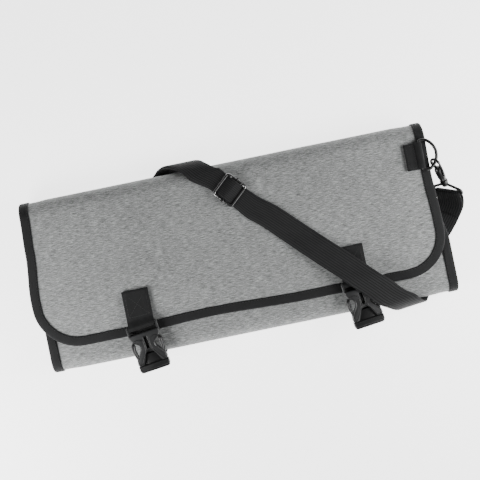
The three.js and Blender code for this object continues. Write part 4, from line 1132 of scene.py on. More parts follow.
@dataclass
class QuiltedPanel:
    """The padded cloth panel, its black binding and the binding's seams."""

    form: PanelForm
    step: float = 4.6
    fold_step: float = 2.6
    end_step: float = 0.8
    fold_margin: float = 4.0
    edge_band: float = 0.045
    edge_columns: int = 6
    columns: int = 84
    corner_steps: int = 12
    end_steps: int = 88
    tape_bend: float = 2.1
    seam_inset: float = 1.6
    seam_pitch: float = 3.4
    stitch: tuple[float, float] = (2.5, 0.42)

    def rows(self) -> list[float]:
        """Places of the panel's rows along the section, closer in the folds, the corners and the ends."""
        form, margin = self.form, self.fold_margin
        bent = [run for run in form.runs if abs(run.turn) > 1]
        folds = [(run.start - margin, run.start + run.length + margin) for run in bent]
        rows = [0.0]
        while rows[-1] < form.length:
            s = rows[-1]
            near_end = min(s, form.length - s)
            if near_end < 6:
                step = self.end_step
            elif near_end < form.corner(s) or any(low <= s < high for low, high in folds):
                step = self.fold_step
            else:
                step = self.step
            rows.append(s + step)
        rows[-1] = form.length
        return rows

    def across(self, s: float, shares: Sequence[float]) -> list[float]:
        """The columns' places at s."""
        left, right = self.form.edge(s, -1) + self.form.cut(s), self.form.edge(s, 1) - self.form.cut(s)
        return [lerp(left, right, share) for share in shares]

    def place(self, s: float, x: float, side: int) -> Point:
        """A point of the panel's face, with the cloth's waves."""
        form = self.form
        return form.at(s, x, side * form.wall(s, x) / 2 + form.waves(s, x))

    def panel(self, bench: Workbench, cloth: Material) -> Object:
        """Builds the padded sheet: two faces of rows and columns, joined round their edge."""
        rows, band = self.rows(), self.edge_band
        shares = [smooth(i / self.edge_columns) * band for i in range(self.edge_columns)]
        middle = [lerp(band, 1 - band, i / self.columns) for i in range(self.columns + 1)]
        shares = [*shares, *middle, *[1 - share for share in reversed(shares)]]
        flat = [(x, s) for s in rows for x in self.across(s, shares)]
        points = [self.place(s, x, side) for side in (1, -1) for x, s in flat]
        n, half, last = len(shares), len(flat), len(flat) - len(shares)
        faces: list[list[int]] = []
        for low in range(0, last, n):
            for a in range(low, low + n - 1):
                faces.append([a, a + 1, a + n + 1, a + n])
                faces.append([half + a + n, half + a + n + 1, half + a + 1, half + a])
            right = low + n - 1
            faces.append([low, low + n, half + low + n, half + low])
            faces.append([right + n, right, half + right, half + right + n])
        faces += [[a + 1, a, half + a, half + a + 1] for a in range(n - 1)]
        faces += [[a, a + 1, half + a + 1, half + a] for a in range(last, last + n - 1)]
        coords = [(flat[i % half][0] * MM, flat[i % half][1] * MM) for face in faces for i in face]
        made = bench.piece("padded_panel", points, faces, cloth, coords, "cloth")
        finish(made, Body.ROLL, Slot.CLOTH, "roll_panel")
        SIZE.width * MM
        return made

    def outline(self) -> list[Edge]:
        """Stations round the sheet's edge: its s, x and the way out in s and x."""
        form = self.form
        ends = (SIZE.flap_corner, SIZE.inner_corner)
        straight = [s for s in self.rows() if ends[0] < s < form.length - ends[1]]
        turns = [i * pi / 2 / self.corner_steps for i in range(self.corner_steps + 1)]

        def corner(first: bool, angle: float, side: int) -> Edge:
            """A station on a rounded corner."""
            radius = ends[0] if first else ends[1]
            s = radius * (1 - cos(angle))
            s = s if first else form.length - s
            x = form.edge(s, side) - side * radius * (1 - sin(angle))
            return s, x, (-1 if first else 1) * cos(angle), side * sin(angle)

        def end(first: bool) -> list[Edge]:
            """The stations of a straight end, left to right."""
            s = 0.0 if first else form.length
            low = form.edge(s, -1) + form.corner(s)
            high = form.edge(s, 1) - form.corner(s)
            sign, count = -1.0 if first else 1.0, self.end_steps
            return [(s, lerp(low, high, i / count), sign, 0.0) for i in range(1, count)]

        loop = end(True)
        for side, first, rows in ((1, True, straight), (-1, False, straight[::-1])):
            loop += [corner(first, angle, side) for angle in turns]
            loop += [(s, form.edge(s, side), 0.0, float(side)) for s in rows]
            loop += [corner(not first, angle, side) for angle in reversed(turns)]
            if first:
                loop += reversed(end(False))
        return loop

    def section_of_tape(self) -> list[tuple[float, float]]:
        """The folded tape's section: out of the sheet's edge and out of its middle surface."""
        s, bend, face = SIZE, self.tape_bend, SIZE.edge_reach
        out = s.gap + s.tape
        inner = out - s.tape_width
        turns = (0, 0.5, 1.0, 1.35)
        upper = [(inner, face - 0.45), (inner + 0.35, face), (inner + 3.0, face + 0.06), (inner + 6.0, face)]
        upper += [(out - bend + bend * sin(a), face - bend + bend * cos(a)) for a in turns]
        inside = s.edge_wall / 2 + 0.12
        lining = [(inner, -inside), (s.gap, -inside), (s.gap, inside), (inner, inside)]
        return [*upper, *[(a, -b) for a, b in reversed(upper)], *lining]

    def tape_point(self, station: Edge, out: float, n: float, place: float) -> Point:
        """A point of the tape, with the slight ripple of its inner edge."""
        s, x, out_s, out_x = station
        inward = smooth(-out / SIZE.tape_width)
        ripple = 0.35 * inward * noise.noise(Vector((place / 16, 2.0, 5.0)))
        lift = 0.1 * copysign(1.0, n) * inward * noise.noise(Vector((place / 9, 8.0, 1.0)))
        along, across = s + (out + ripple) * out_s, x + (out + ripple) * out_x
        waves = self.form.waves(along, across) if abs(n) > 0 else 0.0
        return self.form.at(along, across, n + lift + waves)

    def binding(self, bench: Workbench, tape: Material, sewing: StitchTree) -> None:
        """Builds the folded tape and its two seams."""
        stations = self.outline()
        profile = self.section_of_tape()
        middles = [self.form.at(s, x, 0) for s, x, _, _ in stations]
        places = distances([*middles, middles[0]])
        rings = [
            [self.tape_point(station, out, n, place) for out, n in profile]
            for station, place in zip(stations, places)
        ]
        across = distances([Vector((a, b, 0)) for a, b in [*profile, profile[0]]])
        points, faces, coords = swept(rings, places, across, True)
        made = bench.outward(bench.piece("folded_tape", points, faces, tape, coords))
        finish(made, Body.ROLL, Slot.BINDING, "edge_binding")
        seam_in = SIZE.gap + SIZE.tape - SIZE.tape_width + self.seam_inset
        for side, name in ((1, "tape_seam_outer"), (-1, "tape_seam_inner")):
            path, deep = (
                [self.tape_point(at, seam_in, side * height, place) for at, place in zip(stations, places)]
                for height in (SIZE.edge_reach + 0.06, SIZE.edge_reach - 0.9)
            )
            ups = [(a - b).normalized() for a, b in zip(path, deep)]
            seam = row_of_stitches([*path, path[0]], [*ups, ups[0]], self.seam_pitch)
            finish(sewing.sew(bench, name, seam, *self.stitch), Body.ROLL, Slot.BINDING)


@dataclass(frozen=True)
class Station:
    """A place on a strap's middle line, the direction of its width and its share of the full width."""

    place: Point
    width: Vector
    squeeze: float = 1.0


def bearing(turn: float, lift: float = 0.0) -> Vector:
    """A direction from its angle in plan and upwards, in degrees."""
    flat = cos(radians(lift))
    angle = radians(turn)
    return Vector((flat * cos(angle), flat * sin(angle), sin(radians(lift))))


def spline(points: Sequence[Point], index: int, share: float) -> Point:
    """A centripetal Catmull-Rom curve through points, a share of the way from index to the next."""
    a = points[index - 1] if index > 0 else 2 * points[0] - points[1]
    b, c = points[index], points[index + 1]
    d = points[index + 2] if index + 2 < len(points) else 2 * points[-1] - points[-2]
    t0 = max(1e-4, (b - a).length ** 0.5)
    t1 = max(1e-4, (c - b).length ** 0.5)
    t2 = max(1e-4, (d - c).length ** 0.5)
    m1 = ((b - a) / t0 - (c - a) / (t0 + t1) + (c - b) / t1) * t1
    m2 = ((c - b) / t1 - (d - b) / (t1 + t2) + (d - c) / t2) * t1
    t = share
    return b + m1 * t + (3 * (c - b) - 2 * m1 - m2) * t * t + (2 * (b - c) + m1 + m2) * t * t * t


@dataclass
class Webbing:
    """Flat woven webbing with rounded edges, swept along a line of stations."""

    thick: float = SIZE.web
    step: float = 2.2
    edge_round: float = 0.55

    def section(self, half: float) -> list[tuple[float, float]]:
        """The section's points: across and out."""
        t, r = self.thick / 2, self.edge_round
        edge = [(half, t - r), (half - 0.35 * r, t - 0.35 * r), (half - r, t), (half * 0.6, t)]
        top = [*edge, (0.0, t), *[(-a, b) for a, b in reversed(edge)]]
        return [*top, *[(a, -b) for a, b in reversed(top)]]

    def sample(self, stations: Sequence[Station]) -> Route:
        """Places, widths, ways out and squeezes at close steps along the stations."""
        places = [station.place for station in stations]
        rows: list[tuple[Point, Vector, float]] = []
        for i in range(len(stations) - 1):
            a, b = stations[i], stations[i + 1]
            count = max(2, ceil((b.place - a.place).length / self.step))
            for k in range(count + (1 if i == len(stations) - 2 else 0)):
                share = k / count
                width = a.width.lerp(b.width, share).normalized()
                rows.append((spline(places, i, share), width, lerp(a.squeeze, b.squeeze, share)))
        out_rows = []
        for i, (place, width, squeeze) in enumerate(rows):
            ahead = (rows[min(i + 1, len(rows) - 1)][0] - rows[max(i - 1, 0)][0]).normalized()
            out_rows.append((place, width, width.cross(ahead), squeeze))
        return out_rows

    def sweep(
        self,
        bench: Workbench,
        name: str,
        stations: Sequence[Station],
        material: Material,
        bend: Callable[[Point], Point] = Vector,
    ) -> Object:
        """Builds a strap.

        Args:
            bench: places the points in the frame.
            name: the piece's name.
            stations: the strap's route.
            material: its finish.
            bend: a last move of every point.

        Returns:
            The object.
        """
        rows = self.sample(stations)
        rings = []
        for place, width, out, squeeze in rows:
            stretch = max(0.35, out.length)
            half = squeeze * SIZE.web_width / 2 / stretch
            normal = out.normalized()
            ring = [place + width * across + normal * rise for across, rise in self.section(half)]
            under = min(0.0, min(point.z for point in ring))
            rings.append([bend(point - Vector((0, 0, under))) for point in ring])
        places = distances([row[0] for row in rows])
        flat = [Vector((a, b, 0)) for a, b in self.section(SIZE.web_width / 2)]
        points, faces, coords = swept(rings, [*places, places[-1]], distances([*flat, flat[0]]), False)
        return bench.outward(bench.piece(name, points, faces, material, coords))


def loop_round(
    middle: Point, axis: Vector, start: Vector, sweep: float, radius: float, steps: int
) -> list[Station]:
    """Stations on an arc round a bar.

    Args:
        middle: the bar's middle.
        axis: its direction, which is the strap's width.
        start: from the bar to the arc's first station.
        sweep: the arc's angle about the axis, in degrees.
        radius: of the strap's middle line.
        steps: of the arc.

    Returns:
        The stations.
    """
    first = start.normalized() * radius
    return [
        Station(middle + Matrix.Rotation(radians(sweep * i / steps), 3, axis) @ first, axis.copy())
        for i in range(steps + 1)
    ]


def box(bench: Workbench, name: str, corners: Sequence[Point], material: Material) -> Object:
    """Builds a box.

    Args:
        bench: places the points in the frame.
        name: the piece's name.
        corners: the eight corners, x fastest and z slowest.
        material: its finish.

    Returns:
        The box.
    """
    faces = [[0, 2, 3, 1], [4, 5, 7, 6], [0, 1, 5, 4], [2, 6, 7, 3], [0, 4, 6, 2], [1, 3, 7, 5]]
    return bench.outward(bench.piece(name, corners, faces, material))


def carve(bench: Workbench, made: Object, corners: Sequence[Point], material: Material) -> None:
    """Cuts a box out of a piece and rounds the cut's edges.

    Args:
        bench: places the points in the frame.
        made: the piece.
        corners: the box's eight corners, x fastest and z slowest.
        material: of the cut's faces.
    """
    knife = box(bench, "slot_cutter", corners, material)
    cut = made.modifiers.new("slot", "BOOLEAN")
    cut.object = knife
    cut.operation = "DIFFERENCE"
    cut.solver = "EXACT"
    rounder(made, 0.25, 2, 50)
    bench.baked(made)
    bpy.data.objects.remove(knife)
    smoothed(made, 42)


@dataclass(frozen=True)
class BuckleSide:
    """One of the two buckles: its name and its middle as a share of the half width."""

    name: str
    share: float

    @property
    def x(self) -> float:
        """The tab's middle."""
        return self.share * SIZE.half_width


BUCKLES = (BuckleSide("left", -0.527), BuckleSide("right", 0.517))
HANDS = ((-1, "a"), (1, "b"))

# The moulded ridge round each leg of the socket, in shares of half its width and of its length.
LEG_RIDGE: Table = (
    (0.8, 0.345), (0.55, 0.425), (0.42, 0.5), (0.45, 0.595), (0.68, 0.735), (0.86, 0.84), (0.88, 0.93),
    (0.8, 0.965), (0.68, 0.94), (0.4, 0.76), (0.24, 0.65), (0.2, 0.56), (0.21, 0.42), (0.32, 0.34),
    (0.55, 0.31),
)

# The ridge on each side arm of the plug, in the same shares.
ARM_RIDGE: Table = (
    (0.75, 0.87), (0.85, 0.73), (0.91, 0.57), (0.88, 0.43),
)


def closed_curve(corners: Sequence[Point], steps: int) -> list[Point]:
    """A closed smooth curve through corners."""
    wrapped = [corners[-1], *corners, corners[0], corners[1]]
    return [spline(wrapped, i + 1, k / steps) for i in range(len(corners)) for k in range(steps)]


@dataclass
class Fastening:
    """A sewn flap tab, its side-release buckle and the closing strap below."""

    side: BuckleSide
    width: float = 36.0
    thick: float = 8.5
    rise: float = 1.2
    socket_length: float = 43.5
    socket_bar: float = 1.9
    plug_bar: float = 1.7
    lift: float = 0.6
    turn: float = radians(7)
    slope: float = radians(8)
    tab_length: float = 40.6
    crease: float = 7.5
    bar_inset: float = 9.6
    closing: float = 63.0
    seam: float = 27.0
    slit: tuple[float, float] = (0.592, 0.282)
    slit_half: float = 1.7
    shade_plate_depth: float = 2.2
    shade_plate_half: float = 1.9
    shade_plate_thick: float = 0.4
    rim_half: float = 2.25
    rim: tuple[float, float] = (0.268, 0.606)
    ridge_wire: float = 0.4
    arm_wire: float = 1.3
    lip_wire: float = 0.45

    @property
    def tab_base(self) -> float:
        """Height of the tab's lower face."""
        return SIZE.flap_top + SIZE.gap

    @property
    def tab_loop(self) -> float:
        """Radius of the tab's loop, outside."""
        return self.socket_bar + SIZE.gap + SIZE.web

    @property
    def bar(self) -> Point:
        """The socket's bar."""
        height = self.tab_base + self.tab_loop + self.lift
        return Vector((self.side.x, SIZE.flap_edge_y + self.bar_inset, height))

    @property
    def placing(self) -> Matrix:
        """Turns the buckle's own frame into the roll's."""
        turn = Matrix.Rotation(self.turn, 4, "Z") @ Matrix.Rotation(self.slope, 4, "X")
        return Matrix.Translation(self.bar) @ turn

    def own(self, x: float, down: float, z: float) -> Point:
        """A point of the buckle's own frame, measured from the socket's bar down to the plug."""
        return self.placing @ Vector((x, -down, z))

    @property
    def plug_bar_at(self) -> Point:
        """The plug's bar."""
        pocket = self.plug_bar + SIZE.web + 2 * SIZE.gap
        down = self.socket_length + SIZE.gap + 1.2 + pocket
        return self.own(0, down, self.rise - self.thick / 2 + 0.15 * self.thick)

    def tab(self, bench: Workbench, finishes: Finishes, sewing: StitchTree) -> None:
        """Builds the tab and its box seam."""
        s, bar, x = SIZE, self.bar, self.side.x
        wide = Vector((1, 0, 0))
        top = bar.y + self.tab_length
        crease = bar.y + self.crease
        low, high = self.tab_base + s.web / 2, self.tab_base + 1.5 * s.web + 0.04
        radius = self.socket_bar + s.gap + s.web / 2
        over = (
            (crease - 2.6, high + 1.5),
            (crease, high + 0.25),
            (crease + 3, high),
            (top - 14, high),
            (top - 1.3, high),
            (top - 0.2, high - 0.5),
        )
        stations = [Station(Vector((x, y, low)), wide) for y in (top - 0.4, top - 12, crease + 6)]
        stations += loop_round(bar, wide, Vector((0, 0.15, -1)), -180, radius, 8)
        stations += [Station(Vector((x, y, z)), wide) for y, z in over]

        def bend(point: Point) -> Point:
            """Turns the far end with the bar."""
            share = smooth((crease + self.crease - point.y) / (2 * self.crease - self.tab_loop))
            return point + Vector((0, (point.x - x) * tan(self.turn) * share, 0))

        side = self.side.name
        made = Webbing().sweep(bench, f"sewn_flap_tab_{side}", stations, finishes.tab, bend)
        finish(made, Body.ROLL, Slot.WEBBING, f"flap_tab_{side}")
        seam = box_seam(x, (top - 3, crease + 3.4), self.tab_base + 2 * s.web + 0.05, 1, bend)
        finish(sewing.sew(bench, f"flap_tab_seam_{side}", seam, 2.1, 0.36), Body.ROLL, Slot.WEBBING)

    def strap(self, bench: Workbench, finishes: Finishes, sewing: StitchTree) -> None:
        """Builds the closing strap from its sewn end under the back to the plug's bar."""
        s, held = SIZE, self.plug_bar_at
        x = held.x
        wide = Vector((1, 0, 0))
        against = s.back_mid - s.wall / 2 - s.gap - s.web / 2
        middle = Vector((x, s.lower_fold_y, s.back_mid + s.lower_fold))
        radius = middle.z - against
        start = s.lower_fold_y + self.closing
        sewn = (start - self.seam, start - 14, start - 1.6)
        level = (start - 1.6, start - 20, s.lower_fold_y + 14)
        stations = [Station(Vector((x, y, s.web / 2)), wide) for y in sewn]
        stations.append(Station(Vector((x, start - 0.35, (s.web / 2 + against) / 2)), wide))
        stations += [Station(Vector((x, y, against)), wide) for y in level]
        for i in range(11):
            angle = radians(lerp(-90, -195, i / 10))
            out = Vector((0, radius * cos(angle), radius * sin(angle)))
            stations.append(Station(middle + out, wide))
        loop = self.plug_bar + s.gap + s.web / 2
        towards = (stations[-1].place - held).normalized()
        first = Matrix.Rotation(radians(-28), 3, "X") @ towards
        stations += loop_round(held, wide, first, -235, loop, 9)
        limit = held.z - self.plug_bar - s.web - s.gap

        def bend(point: Point) -> Point:
            """Turns the upper end with the bar."""
            share = smooth((point.z - middle.z) / (limit - middle.z)) if point.y < s.lower_fold_y else 0.0
            return point + Vector((0, (point.x - x) * tan(self.turn) * share, 0))

        side = self.side.name
        made = Webbing().sweep(bench, f"sewn_closing_strap_{side}", stations, finishes.webbing, bend)
        finish(made, Body.ROLL, Slot.WEBBING, f"closing_strap_{side}")
        seam = box_seam(x, (start - 3, start - self.seam + 2.5), 0.12, -1)
        finish(sewing.sew(bench, f"closing_strap_seam_{side}", seam, 2.1, 0.24), Body.ROLL, Slot.WEBBING)

    def socket(self, bench: Workbench, finishes: Finishes, wires: WireTree) -> None:
        """Builds the socket: its rounded body and slit, a dark plate in the slit that paints its shade, and
        the slit's rim and the ridges in the darker plug plastic, which paint the shade of the moulding's
        grooves.
        """
        side, length, face = self.side.name, self.socket_length, self.rise + self.thick / 2
        node = f"buckle_socket_{side}"
        made = bench.copy(node, f"moulded_socket_{side}", finishes.socket, 0.4)
        ends, half = [share * length for share in self.slit], self.slit_half
        slit = [self.own(a, b, c) for c in (-self.thick, self.thick) for b in ends for a in (-half, half)]
        carve(bench, made, slit, finishes.socket)
        finish(made, Body.ROLL, Slot.SOCKET, node)
        # A dark plate of plug plastic sunk in the slit is painted shade: it darkens the slit as its depth
        # would.
        half = self.shade_plate_half
        top = [self.own(a, b, face - self.shade_plate_depth) for b in ends for a in (-half, half)]
        under = [corner - Vector((0, 0, self.shade_plate_thick)) for corner in top]
        finish(box(bench, f"slit_shade_plate_{side}", [*under, *top], finishes.plug), Body.ROLL, Slot.PLUG, node)
        # The ridges round the legs and the slit's rim are real ridges, but their darker plug plastic is
        # painted shade of the grooves round the socket's moulding.
        half = self.width / 2
        for hand, label in HANDS:
            bent = closed_curve([self.own(hand * a * half, b * length, face) for a, b in LEG_RIDGE], 5)
            ridge = wires.bend(bench, f"socket_ridge_{label}_{side}", bent, self.ridge_wire)
            finish(ridge, Body.ROLL, Slot.PLUG, node)
        half, (near, far) = self.rim_half, self.rim
        around = [(-half, near), (half, near), (half, far), (-half, far)]
        corners = [self.own(a, b * length, face) for a, b in around]
        rim = wires.bend(bench, f"slit_rim_{side}", rounded(corners, 0.8, 5, 4), self.ridge_wire)
        finish(rim, Body.ROLL, Slot.PLUG, node)

    def plug(self, bench: Workbench, finishes: Finishes, wires: WireTree) -> None:
        """Builds the plug: the ridges on its arms, the lip before the socket and its rounded body."""
        side, length, half = self.side.name, self.socket_length, self.width / 2
        node = f"buckle_plug_{side}"
        for hand, label in HANDS:
            rows = [(a + out, b) for out, order in ((0.05, 1), (-0.06, -1)) for a, b in ARM_RIDGE[::order]]
            corners = [self.own(hand * a * half, b * length, self.rise + 2.1) for a, b in rows]
            arm = wires.bend(bench, f"arm_ridge_{label}_{side}", closed_curve(corners, 4), self.arm_wire)
            finish(arm, Body.ROLL, Slot.PLUG, node)
        front = length + SIZE.gap
        outline = [(-0.93, front + 0.7), (0.93, front + 0.7), (0.91, front + 5.2), (-0.91, front + 5.2)]
        corners = [self.own(a * half, b, self.rise + self.thick / 2 - 0.5) for a, b in outline]
        lip = wires.bend(bench, f"plug_lip_{side}", rounded(corners, 1.6, 6, 4), self.lip_wire)
        finish(lip, Body.ROLL, Slot.PLUG, node)
        finish(bench.copy(node, f"moulded_plug_{side}", finishes.plug, 0.35), Body.ROLL, Slot.PLUG, node)


@dataclass
class RingAndHook:
    """The D-ring on its tab, the snap hook that hangs from it and the swivel eye."""

    wire: float = 1.4
    depth: float = 17.5
    shoulder: float = 7.0
    tab: float = 17.0
    inset: float = 14.6
    ring_y: float = 0.613
    hold: float = radians(35)
    heading: float = radians(-69)
    slope: float = radians(33.5)
    reach: float = 33.0
    hold_gap: float = 1.5
    eye_reach: float = 12.2
    eye_shoulder: float = 5.2
    eye_wire: float = 1.3
    swivel_pin: float = 1.5
    thick: float = 3.6
    bight_outer: float = 7.6
    bight_inner: float = 5.2
    shank: float = 8.0

    @property
    def half(self) -> float:
        """Half the ring's width, to its wire's middle."""
        return SIZE.web_width / 2 + SIZE.gap + self.wire

    @property
    def loop(self) -> float:
        """Radius of the tab's loop, outside."""
        return self.wire + SIZE.gap + SIZE.web

    @property
    def bow(self) -> tuple[float, float]:
        """The bow's radius and middle."""
        rise = self.depth - self.shoulder
        radius = (self.half**2 + rise**2) / (2 * rise)
        return radius, self.depth - radius

    @property
    def at(self) -> Point:
        """The middle of the ring's bar."""
        height = SIZE.flap_mid + SIZE.edge_reach + SIZE.gap + self.loop
        return Vector((SIZE.half_width - self.inset, self.ring_y * SIZE.half_depth, height))

    @property
    def axis(self) -> Vector:
        """The hook's axis, up from its eye to the wire that it holds."""
        flat = cos(self.slope)
        return Vector((-flat * cos(self.heading), -flat * sin(self.heading), sin(self.slope)))

    @property
    def swivel(self) -> Point:
        """The swivel's middle."""
        radius, middle = self.bow
        held = self.at + Vector((middle + radius * cos(-self.hold), radius * sin(-self.hold), 0))
        return held - self.axis * self.reach

    @property
    def side(self) -> Vector:
        """The hook's own x, towards its lever."""
        wire = Vector((sin(self.hold), cos(self.hold), 0))
        side = wire.cross(self.axis).normalized()
        return -side if side.z < 0 else side

    @property
    def eye(self) -> Point:
        """The middle of the eye's bar."""
        return self.swivel - self.axis * self.eye_reach

    @property
    def eye_width(self) -> Vector:
        """The direction of the eye's bar."""
        return bearing(-23, 35)

    def own(self, x: float, y: float, z: float) -> Point:
        """A point of the hook's own frame in the drawing frame."""
        return self.swivel + self.side * x + self.axis * y + self.side.cross(self.axis) * z


def rounded(corners: Sequence[Point], radius: float, steps: int = 10, straight: int = 6) -> list[Point]:
    """A closed polygon with round corners, as points."""
    points: list[Point] = []
    count = len(corners)
    shares = [k / steps for k in range(steps + 1)]
    for i, corner in enumerate(corners):
        before, after = corners[i - 1], corners[(i + 1) % count]
        start = corner + (before - corner).normalized() * radius
        end = corner + (after - corner).normalized() * radius
        bend = [start.lerp(corner, t).lerp(corner.lerp(end, t), t) for t in shares]
        leaving = after + (corner - after).normalized() * radius
        points += bend + [end.lerp(leaving, k / straight) for k in range(1, straight)]
    return points


def turned(
    profile: Pairs, sides: int, place: Callable[[float, float, float], Point]
) -> tuple[list[Point], list[list[int]]]:
    """A lathe shape: radius and height pairs turned about the own y axis.

    Args:
        profile: radius and height, from the bottom to the top.
        sides: faces round it.
        place: turns own x, y and z into the drawing frame.

    Returns:
        Points and faces.
    """
    points: list[Point] = []
    for radius, height in profile:
        for k in range(sides):
            angle = 2 * pi * k / sides
            points.append(place(radius * cos(angle), height, radius * sin(angle)))
    faces = []
    for i in range(len(profile) - 1):
        for k in range(sides):
            n = (k + 1) % sides
            faces.append([i * sides + k, i * sides + n, (i + 1) * sides + n, (i + 1) * sides + k])
    faces.append(list(range(sides)))
    faces.append([(len(profile) - 1) * sides + k for k in range(sides)][::-1])
    return points, faces


# How much wider than the hook's round shank its steps are, and their heights over the swivel.
SHANK: Table = (
    (0.1, 2.5), (0.5, 2.9), (0.5, 5.4), (0.1, 5.9), (-0.45, 6.2), (0.0, 8.2), (0.6, 12.0), (0.9, 17.0),
    (0.7, 22.0), (-0.1, 24.6),
)

# The same for the swivel's collar.
COLLAR: Table = (
    (-0.9, -2.2), (-0.5, -1.9), (-0.15, -0.6), (0.0, 1.2), (-0.2, 1.95), (-0.7, 2.2),
)


@dataclass
class FrontFittings:
    """Builds the D-ring, its tab, the snap hook with its lever and the swivel eye."""

    sizes: RingAndHook
    bench: Workbench
    finishes: Finishes
    wires: WireTree
    sewing: StitchTree
    ring_plump: float = 0.4
    eye_plump: float = 0.3
    ring_corner: float = 3.4
    seam_side: float = 2.6
    seam_end: float = 2.4
    seam_near: float = 3.2
    seam_pitch: float = 2.5
    bight_turn: tuple[float, float] = (19.0, 288.0)
    bight_steps: int = 44
    bight_sides: int = 16
    bight_square: float = 0.7

    def ring_path(self, placing: Matrix) -> list[Point]:
        """The D-ring's wire in its own plane, placed."""
        s = self.sizes
        radius, middle = s.bow
        reach = asin(s.half / radius)
        bow = [lerp(-reach, reach, i / 28) for i in range(29)]
        path = [Vector((middle + radius * cos(a), radius * sin(a), 0)) for a in bow]
        for hand in (1.0, -1.0):
            start = Vector((self.ring_corner, hand * s.half, 0))
            knee = Vector((0, hand * s.half, 0))
            end = Vector((0, hand * (s.half - self.ring_corner), 0))
            bend = [start.lerp(knee, k / 8).lerp(knee.lerp(end, k / 8), k / 8) for k in range(9)]
            path += bend if hand > 0 else bend[::-1]
        return [placing @ point for point in path]

    def ring(self, name: str, node: str, placing: Matrix) -> None:
        """Bends a D-ring of black wire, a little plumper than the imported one."""
        made = self.wires.bend(self.bench, name, self.ring_path(placing), self.sizes.wire + self.ring_plump)
        finish(made, Body.ROLL, Slot.METAL, node)

    def ring_tab(self, name: str, node: str, placing: Matrix) -> None:
        """Folds a tab of webbing round the ring's bar and sews it down."""
        s = self.sizes
        low, high = SIZE.web / 2 - s.loop, 1.5 * SIZE.web - s.loop + 0.04
        turn = placing.to_3x3()
        wide = turn @ Vector((0, 1, 0))

        def at(x: float, z: float) -> Station:
            """A station of the tab."""
            return Station(placing @ Vector((x, 0, z)), wide)

        radius = s.wire + SIZE.gap + SIZE.web / 2
        stations = [at(0.25 - s.tab, low), at(-9, low), at(-3, low)]
        for i in range(9):
            angle = radians(lerp(-90, 105, i / 8))
            stations.append(at(radius * cos(angle), radius * sin(angle)))
        stations += [at(-3.2, 1.4), at(-s.loop - SIZE.web + 0.4, high + 0.3), at(-8, high)]
        stations += [at(0.6 - s.tab, high), at(0.15 - s.tab, high - 0.4)]
        made = Webbing(step=1.6).sweep(self.bench, name, stations, self.finishes.tab)
        finish(made, Body.ROLL, Slot.WEBBING, node)
        up = turn @ Vector((0, 0, 1))
        face = high + SIZE.web / 2 + 0.05
        half = SIZE.web_width / 2 - self.seam_side
        far, near = -s.tab + self.seam_end, -s.loop - self.seam_near
        lines = [((x, -half), (x, half), 8) for x in (far, near)]
        lines += [((far, y), (near, y), 3) for y in (-half, half)]
        seam: Seam = []
        for a, b, steps in lines:
            shares = [k / steps for k in range(steps + 1)]
            path = [placing @ Vector((lerp(a[0], b[0], t), lerp(a[1], b[1], t), face)) for t in shares]
            seam += row_of_stitches(path, [up] * len(path), self.seam_pitch)
        finish(self.sewing.sew(self.bench, f"{name}_seam", seam, 2.0, 0.36), Body.ROLL, Slot.WEBBING)

    def hook(self) -> None:
        """Builds the snap hook: a turned shank with the lever's slot, and its open bight."""
        s = self.sizes
        bight_y = s.reach + s.wire + s.hold_gap - s.bight_inner
        top = bight_y - s.bight_inner + 0.6
        half = s.shank / 2
        profile = [(0.4, 2.5), *[(half + out, y) for out, y in SHANK], (half - 1.4, top - 0.2), (0.4, top)]
        points, faces = turned(profile, 28, s.own)
        shank = self.bench.outward(self.bench.piece("hook_shank", points, faces, self.finishes.metal))
        slot = [s.own(a, b, c) for c in (-1.3, 1.3) for b in (13.3, top + 1) for a in (1.6, 9.6)]
        carve(self.bench, shank, slot, self.finishes.metal)
        finish(shank, Body.HOOK, Slot.METAL, "snap_hook")
        rings = [self.bight_ring(bight_y, i / self.bight_steps) for i in range(self.bight_steps + 1)]
        flat = [0.0] * (max(len(rings), self.bight_sides) + 1)
        points, faces, _ = swept(rings, flat, flat, False)
        bight = self.bench.outward(self.bench.piece("hook_bight", points, faces, self.finishes.metal))
        finish(bight, Body.HOOK, Slot.METAL, "snap_hook")
        lever = self.bench.copy("hook_lever", "thumb_lever", self.finishes.metal, 0.4, 3)
        finish(lever, Body.LEVER, Slot.METAL, "hook_lever")

    def bight_ring(self, height: float, share: float) -> list[Point]:
        """A rounded section of the bight.

        Args:
            height: of the bight's middle over the swivel.
            share: of the way from the tip to the shank.

        Returns:
            Its points.
        """
        s = self.sizes
        middle = (s.bight_outer + s.bight_inner) / 2
        radial, flat = (s.bight_outer - s.bight_inner) / 2, s.thick / 2
        first, last = (radians(turn) for turn in self.bight_turn)
        angle = lerp(first, last, share)
        thin = lerp(0.86, 1.0, smooth(share / 0.3))
        ring = []
        for k in range(self.bight_sides):
            t = 2 * pi * k / self.bight_sides
            a, b = (
                reach * copysign(abs(c) ** self.bight_square, c) * thin
                for reach, c in ((radial, cos(t)), (flat, sin(t)))
            )
            ring.append(s.own((middle + a) * cos(angle), height + (middle + a) * sin(angle), b))
        return ring

    def swivel_eye(self) -> None:
        """Bends the eye's wire loop and turns its collar and pin."""
        s = self.sizes
        half = SIZE.web_width / 2 + 2 * SIZE.gap + s.eye_wire
        side = [(half, 0), (half, s.eye_shoulder), (2.4, s.eye_reach)]
        places = [(-half, 0), *side, *[(-across, along) for across, along in side[:0:-1]]]
        corners = [s.eye + s.eye_width * across + s.axis * along for across, along in places]
        bent = rounded(corners, 2.2, 8, 4)
        loop = self.wires.bend(self.bench, "eye_wire_loop", bent, s.eye_wire + self.eye_plump)
        finish(loop, Body.ROLL, Slot.METAL, "swivel_eye")
        pin, half = s.swivel_pin, s.shank / 2
        profile = [(0.3, -2.2), *[(half + out, y) for out, y in COLLAR], (pin, 2.2), (pin, 6.8), (0.2, 7.0)]
        points, faces = turned(profile, 24, s.own)
        collar = self.bench.outward(self.bench.piece("swivel_collar", points, faces, self.finishes.metal))
        collar.data.set_sharp_from_angle(angle=radians(40))
        finish(collar, Body.ROLL, Slot.METAL, "swivel_eye")


